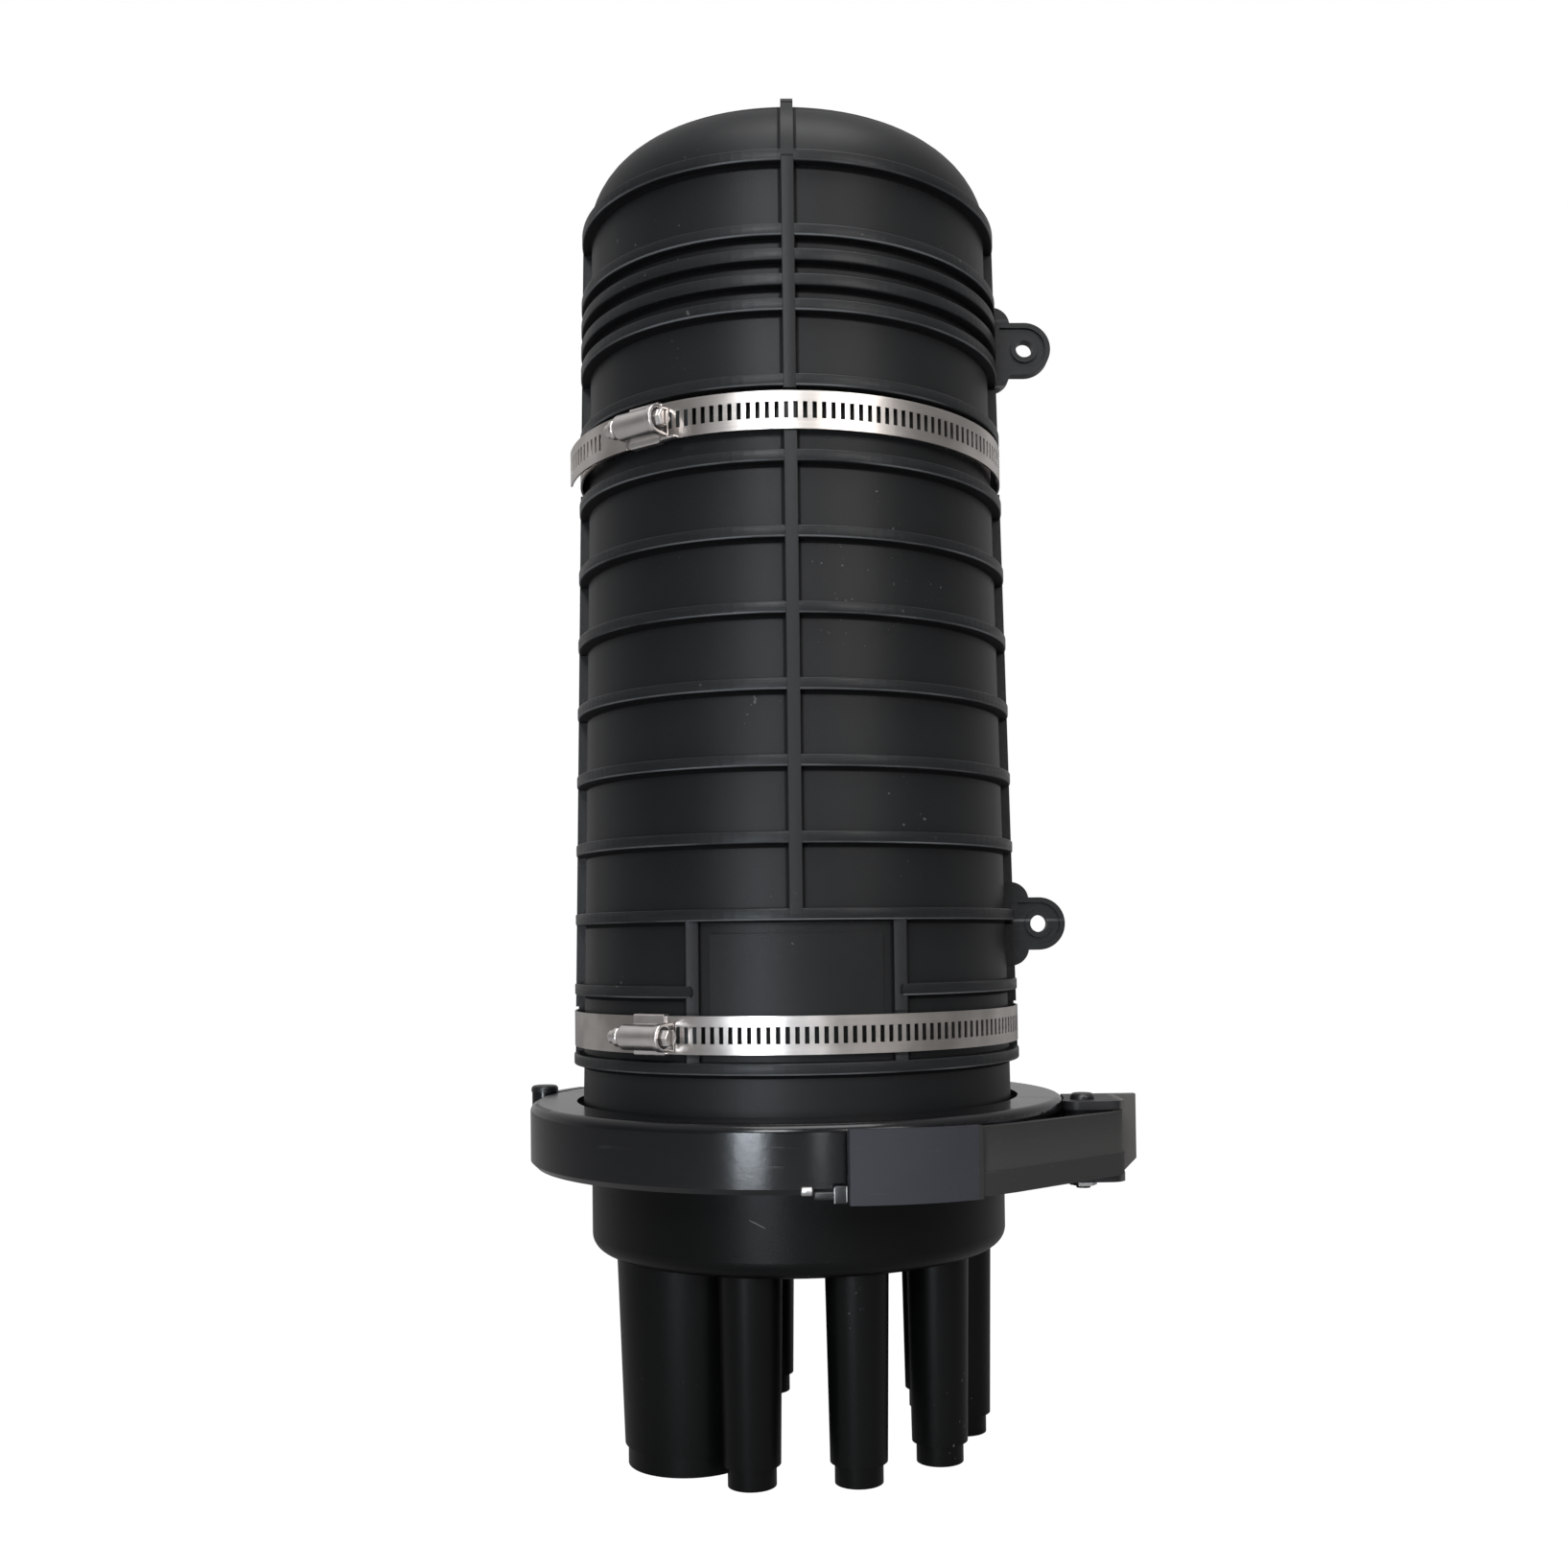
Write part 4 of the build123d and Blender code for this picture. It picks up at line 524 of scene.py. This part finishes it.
# Latch: a lever of dark satin sheet that turns on two stub pins in a bracket, and a strap
# from its crank pin that hooks over a peg on the front half of the ring.
lever_satin, shader, place = new_material("lever_satin")
cloud = place.noise(30, 4)
tooth = place.noise(1900, 2)
rubbed = place.stretched((120, 120, 900)).noise(1, 4).within(0.62, 0.78)
GRIP_END = 0.0582
grip = (GRIP_END - place.component(0)).within(0, 0.0004)
skin = cloud.mixed((0.028, 0.029, 0.036, 1), (0.038, 0.039, 0.047, 1))
sheet = cloud.mixed((0.026, 0.026, 0.025, 1), (0.031, 0.031, 0.029, 1))
ground = grip.mixed(sheet, skin)
feed(shader, Base_Color=(rubbed * 0.2).mixed(ground, (0.08, 0.08, 0.085, 1)), Specular_IOR_Level=0.3)
feed(shader, Roughness=0.52 + cloud * 0.08, Normal=tooth.bump(0.35, 0.00004))
for node in ("latch_lever", "latch_link"):
    finish_node(node, lever_satin)

# The lever's sheet was drawn level; the real one climbs a little towards its free end.
LEVER_RISE = 0.0023
FREE_END = 0.016
LEVEL_FROM = 0.095
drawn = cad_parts["latch_lever"]
lever = bpy.data.objects.new("lever_sheet", drawn.data.copy())
scene.collection.objects.link(lever)
take(lever)
bpy.ops.object.mode_set(mode="EDIT")
bpy.ops.mesh.select_all(action="SELECT")
bpy.ops.mesh.remove_doubles(threshold=0.000005)
shape = bmesh.from_edit_mesh(lever.data)
for corner in shape.verts:
    share = (LEVEL_FROM - corner.co.x) / (LEVEL_FROM - FREE_END)
    corner.co.z += LEVER_RISE * min(max(share, 0), 1)
bmesh.update_edit_mesh(lever.data)
bpy.ops.object.mode_set(mode="OBJECT")
bpy.ops.object.shade_smooth_by_angle(angle=math.radians(6))
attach(lever, "latch_lever")
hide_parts("latch_lever")

# Latch bracket: folded steel on the rear half of the ring, painted black, with the paint
# gone pale on the back plate that the hand pushes on.
bracket_paint, shader, place = new_material("bracket_paint")
outward = place.component(0)
rough_patch = place.noise(160, 4)
pale = (outward + (rough_patch - 0.5) * 0.003).within(0.1148, 0.1170)
paint = rough_patch.mixed((0.010, 0.010, 0.011, 1), (0.018, 0.018, 0.019, 1))
feed(shader, Base_Color=pale.mixed(paint, (0.105, 0.100, 0.096, 1)), Specular_IOR_Level=0.4)
feed(shader, Roughness=0.34 + rough_patch * 0.2, Normal=rough_patch.bump(0.3, 0.00005))
finish_node("latch_bracket", bracket_paint)
finish_node("lock_tab", pin_black)

# Band clamps: half-inch slotted stainless bands drawn tight by a worm in a pressed saddle.
# The rolling marks run along the band, whose sheet is clouded and a little wavy.
band_steel, shader, place = new_material("band_steel")
rolled = place.stretched((30, 30, 2600)).noise(1, 4)
cloud = place.noise(45, 3)
ground = rolled.mixed((0.60, 0.55, 0.52, 1), (0.76, 0.72, 0.69, 1))
feed(shader, Base_Color=cloud.within(0.35, 0.7).mixed(ground, (0.44, 0.41, 0.39, 1)), Metallic=1.0)
wave = place.noise(30, 2).bump(0.5, 0.0006)
feed(shader, Roughness=0.20 + rolled * 0.14 + cloud * 0.10, Normal=rolled.bump(0.12, 0.00002, wave))
for level in ("lower", "upper"):
    for part in ("band", "housing", "screw"):
        finish_node(f"{level}_clamp_{part}", band_steel)


# The saddle of each clamp is pressed sheet: an arched tunnel for the worm on a plate whose
# edges fold round the band. Each is modelled at the front and turned to its place.
TUNNEL_RADIUS = 0.0044
TUNNEL_LENGTH = 0.0176
TUNNEL_AXIS = 0.0048
TUNNEL_DROP = 0.0006
RIM_LENGTH = 0.0024
RIM_STEP = 0.0004
RIM_DEPTH = 0.0021
PLATE_LENGTH = 0.0132
PLATE_SHIFT = -0.0016
PLATE_HEIGHT = 0.0140
PLATE_THICKNESS = 0.0012
FOLD_WIDTH = 0.0006
FOLD_DEPTH = 0.0021
RIM_DROOP = 0.0008
FOLD_DROOP = 0.0004
LIP_SIZE = (0.0066, 0.0024, 0.0009)
LIP_PLACE = (0.0014, 0.0012, 0.0004)
CORE_EXTRA = 0.0044
TIP_REACH = 0.0059
BEAD_PLACE = 0.0022
HEAD_LENGTH = 0.0044
HEAD_PLACE = 0.0004
SCREW_SLOT_HALF = 0.00045
SCREW_SLOT_DEPTH = 0.0014
SHADE_RING_PLACE = 0.0008
SLACK = 0.0001
CLAMPS = {"lower": (0.08246, -125.5), "upper": (0.078745, -127.5)}
SLOT_PITCH = 0.00317
SLOT_SIZE = (0.0015, 0.0003, 0.0056)
EXTRA_SLOTS = 3
SLOT_STARTS = {"lower": (-112.0, 0.08236), "upper": (-114.0, 0.07865)}

pressed_steel, shader, place = new_material("pressed_steel")
grain = place.noise(1400, 3)
cloud = place.noise(260, 3)
feed(shader, Base_Color=cloud.mixed((0.72, 0.68, 0.66, 1), (0.90, 0.86, 0.84, 1)), Metallic=1.0)
feed(shader, Roughness=0.26 + cloud * 0.10, Normal=grain.bump(0.2, 0.00002, cloud.bump(0.2, 0.0001)))


def turn_to_place(piece, angle):
    take(piece)
    piece.rotation_euler = (0, 0, math.radians(angle + 90))
    set_down(piece)


def rod(sides, radius, length, middle, rounding, ends=(-1, 1)):
    # A bar along the band, with its chosen ends rounded
    bpy.ops.mesh.primitive_cylinder_add(
        vertices=sides, radius=radius, depth=length, location=middle, rotation=(0, math.pi / 2, 0)
    )
    bar = set_down(bpy.context.object)
    bpy.ops.object.mode_set(mode="EDIT")
    pick("EDGE", lambda at, part: any(abs(at.x - middle[0] - end * length / 2) < 0.00001 for end in ends))
    bpy.ops.mesh.bevel(offset=rounding, segments=3)
    bpy.ops.object.mode_set(mode="OBJECT")
    return bar


def plain_block(size, middle, rounding):
    bpy.ops.mesh.primitive_cube_add(size=1, location=middle)
    block = bpy.context.object
    block.scale = size
    set_down(block)
    bpy.ops.object.mode_set(mode="EDIT")
    bpy.ops.mesh.select_all(action="SELECT")
    bpy.ops.mesh.bevel(offset=rounding, segments=3)
    bpy.ops.object.mode_set(mode="OBJECT")
    return block


def arch(radius, length, middle, seat, rounding, ends):
    # A round-topped tunnel with upright sides that stand on the band
    bar = rod(48, radius, length, middle, rounding, ends)
    bpy.ops.object.mode_set(mode="EDIT")
    pick("VERT", lambda at, part: at.y > middle[1] + 0.0002)
    bpy.ops.transform.resize(value=(1, 0, 1), center_override=(0, -seat, middle[2]))
    pick("VERT", lambda at, part: at.y > -seat - 0.0001)
    for side in (-1, 1):
        pick("VERT", lambda at, part: at.y > -seat - 0.0001 and side * (at.z - middle[2]) > 0.0003)
        bpy.ops.transform.resize(value=(1, 1, 0), center_override=(0, 0, middle[2] + side * radius))
    bpy.ops.object.mode_set(mode="OBJECT")
    return bar


for level, (seat, angle) in CLAMPS.items():
    height = CLAMP_HEIGHTS[level]
    axis = -(seat + TUNNEL_AXIS)
    centre = height - TUNNEL_DROP
    far_end = TUNNEL_LENGTH / 2
    tunnel_middle = (-RIM_LENGTH / 2, axis, centre)
    tunnel = arch(TUNNEL_RADIUS, TUNNEL_LENGTH - RIM_LENGTH, tunnel_middle, seat, 0.0006, (-1,))
    rim_middle = (far_end - RIM_LENGTH / 2, axis, centre)
    rim = arch(TUNNEL_RADIUS + RIM_STEP, RIM_LENGTH, rim_middle, seat, 0.0004, (-1, 1))
    bpy.ops.object.mode_set(mode="EDIT")
    pick("FACE", lambda at, part: part.normal.x > 0.9 and part.calc_area() > 0.00002)
    bpy.ops.mesh.inset(thickness=0.0006)
    bpy.ops.mesh.extrude_region_move(TRANSFORM_OT_translate={"value": (-RIM_DEPTH, 0, 0)})
    bpy.ops.object.mode_set(mode="OBJECT")

    half = PLATE_HEIGHT / 2
    fold = half - FOLD_WIDTH
    face = -(seat + PLATE_THICKNESS - SLACK)
    bpy.ops.mesh.primitive_cube_add(size=1, location=(PLATE_SHIFT, -(seat + PLATE_THICKNESS / 2), height))
    plate = bpy.context.object
    plate.scale = (PLATE_LENGTH, PLATE_THICKNESS, PLATE_HEIGHT)
    set_down(plate)
    bpy.ops.object.mode_set(mode="EDIT")
    for side in (-1, 1):
        bpy.ops.mesh.select_mode(type="FACE")
        bpy.ops.mesh.select_all(action="SELECT")
        bpy.ops.mesh.bisect(plane_co=(0, 0, height + side * fold), plane_no=(0, 0, 1))
    pick("FACE", lambda at, part: part.normal.y > 0.9 and abs(at.z - height) > fold - SLACK)
    bpy.ops.mesh.extrude_region_move(TRANSFORM_OT_translate={"value": (0, FOLD_DEPTH, 0)})
    pick("VERT", lambda at, part: at.y < face and abs(at.z - height) > half - SLACK)
    bpy.ops.transform.translate(value=(0, RIM_DROOP, 0))
    pick("VERT", lambda at, part: at.y < face and abs(at.z - height) > fold - SLACK)
    bpy.ops.transform.translate(value=(0, FOLD_DROOP, 0))
    pick("EDGE", lambda at, part: abs(abs(at.z - height) - half) < SLACK)
    bpy.ops.mesh.bevel(offset=0.0003, segments=2)
    bpy.ops.object.mode_set(mode="OBJECT")
    pressings = [tunnel, rim, plate]
    if level == "upper":
        lip_middle = (far_end + LIP_PLACE[0], -(seat + LIP_PLACE[1]), height - half + LIP_PLACE[2])
        pressings.append(plain_block(LIP_SIZE, lip_middle, 0.0003))
    saddle = joined(
        f"{level}_saddle", pressings, pressed_steel, "root", f"{level}_clamp_housing"
    )
    turn_to_place(saddle, angle)

    # The worm screw: a beaded tip, a slotted head, and a black ring in the mouth of the tunnel that stands
    # in as painted shade for the dark gap round the head
    core_length = TUNNEL_LENGTH + CORE_EXTRA
    core_middle = (-far_end - TIP_REACH + core_length / 2, axis, centre)
    core = rod(32, 0.0024, core_length, core_middle, 0.0008, (-1,))
    bead = rod(32, 0.0034, 0.0022, (-far_end - BEAD_PLACE, axis, centre), 0.0006)
    head_middle = (far_end - RIM_DEPTH + HEAD_PLACE + HEAD_LENGTH / 2, axis, centre)
    head = rod(6, 0.0029, HEAD_LENGTH, head_middle, 0.0003, (1,))
    bpy.ops.object.mode_set(mode="EDIT")
    for side in (-1, 1):
        pick("FACE", lambda at, part: part.normal.x > 0.9 and part.calc_area() > 0.000004)
        bpy.ops.mesh.bisect(plane_co=(0, axis + side * SCREW_SLOT_HALF, centre), plane_no=(0, 1, 0))
    pick("FACE", lambda at, part: part.normal.x > 0.9 and abs(at.y - axis) < 0.0004)
    bpy.ops.mesh.extrude_region_move(TRANSFORM_OT_translate={"value": (-SCREW_SLOT_DEPTH, 0, 0)})
    bpy.ops.object.mode_set(mode="OBJECT")
    screw = joined(
        f"{level}_worm_screw", [core, bead, head], pressed_steel,
        f"{level}_clamp_screw", f"{level}_clamp_screw"
    )
    turn_to_place(screw, angle)
    # Painted shade: a black ring set in the mouth of the tunnel where there is only shadow.
    shade_ring = rod(32, 0.00385, 0.0014, (far_end - RIM_DEPTH + SHADE_RING_PLACE, axis, centre), 0.0001)
    shade_ring = joined(f"{level}_worm_shade_ring", [shade_ring], pin_black, f"{level}_clamp_screw")
    turn_to_place(shade_ring, angle)

    # The slots run on under the mouth of the saddle, with the black dome showing in them
    first, outside = SLOT_STARTS[level]
    marks = []
    for index in range(1, EXTRA_SLOTS + 1):
        mark = plain_block(SLOT_SIZE, (0, -outside, height), 0.0001)
        turn_to_place(mark, first - index * math.degrees(SLOT_PITCH / outside))
        marks.append(mark)
    joined(f"{level}_band_slots", marks, dome_black, "root")

# Lock catch: a blackened tongue and a small folded tab under the ring, beside the lever's free
# end, held by one bright rivet.
tongue = plain_block((0.0070, 0.0034, 0.0026), (0.0080, -0.0997, 0.1033), 0.0007)
tab = plain_block((0.0042, 0.0014, 0.0056), (0.0130, -0.1008, 0.1036), 0.0004)
joined("lock_catch", [tongue, tab], pin_black, "front_ring_half", "lock_tab")
rivet = rod(24, 0.0015, 0.0038, (0.0024, -0.0995, 0.1046), 0.0005)
edges = [
    plain_block((0.0005, 0.0016, 0.0050), (0.0130 + side * 0.0019, -0.1010, 0.1036 + side * 0.0002), 0.0002)
    for side in (-1, 1)
]
joined("lock_catch_rivet", [rivet] + edges, turned_steel, "front_ring_half")
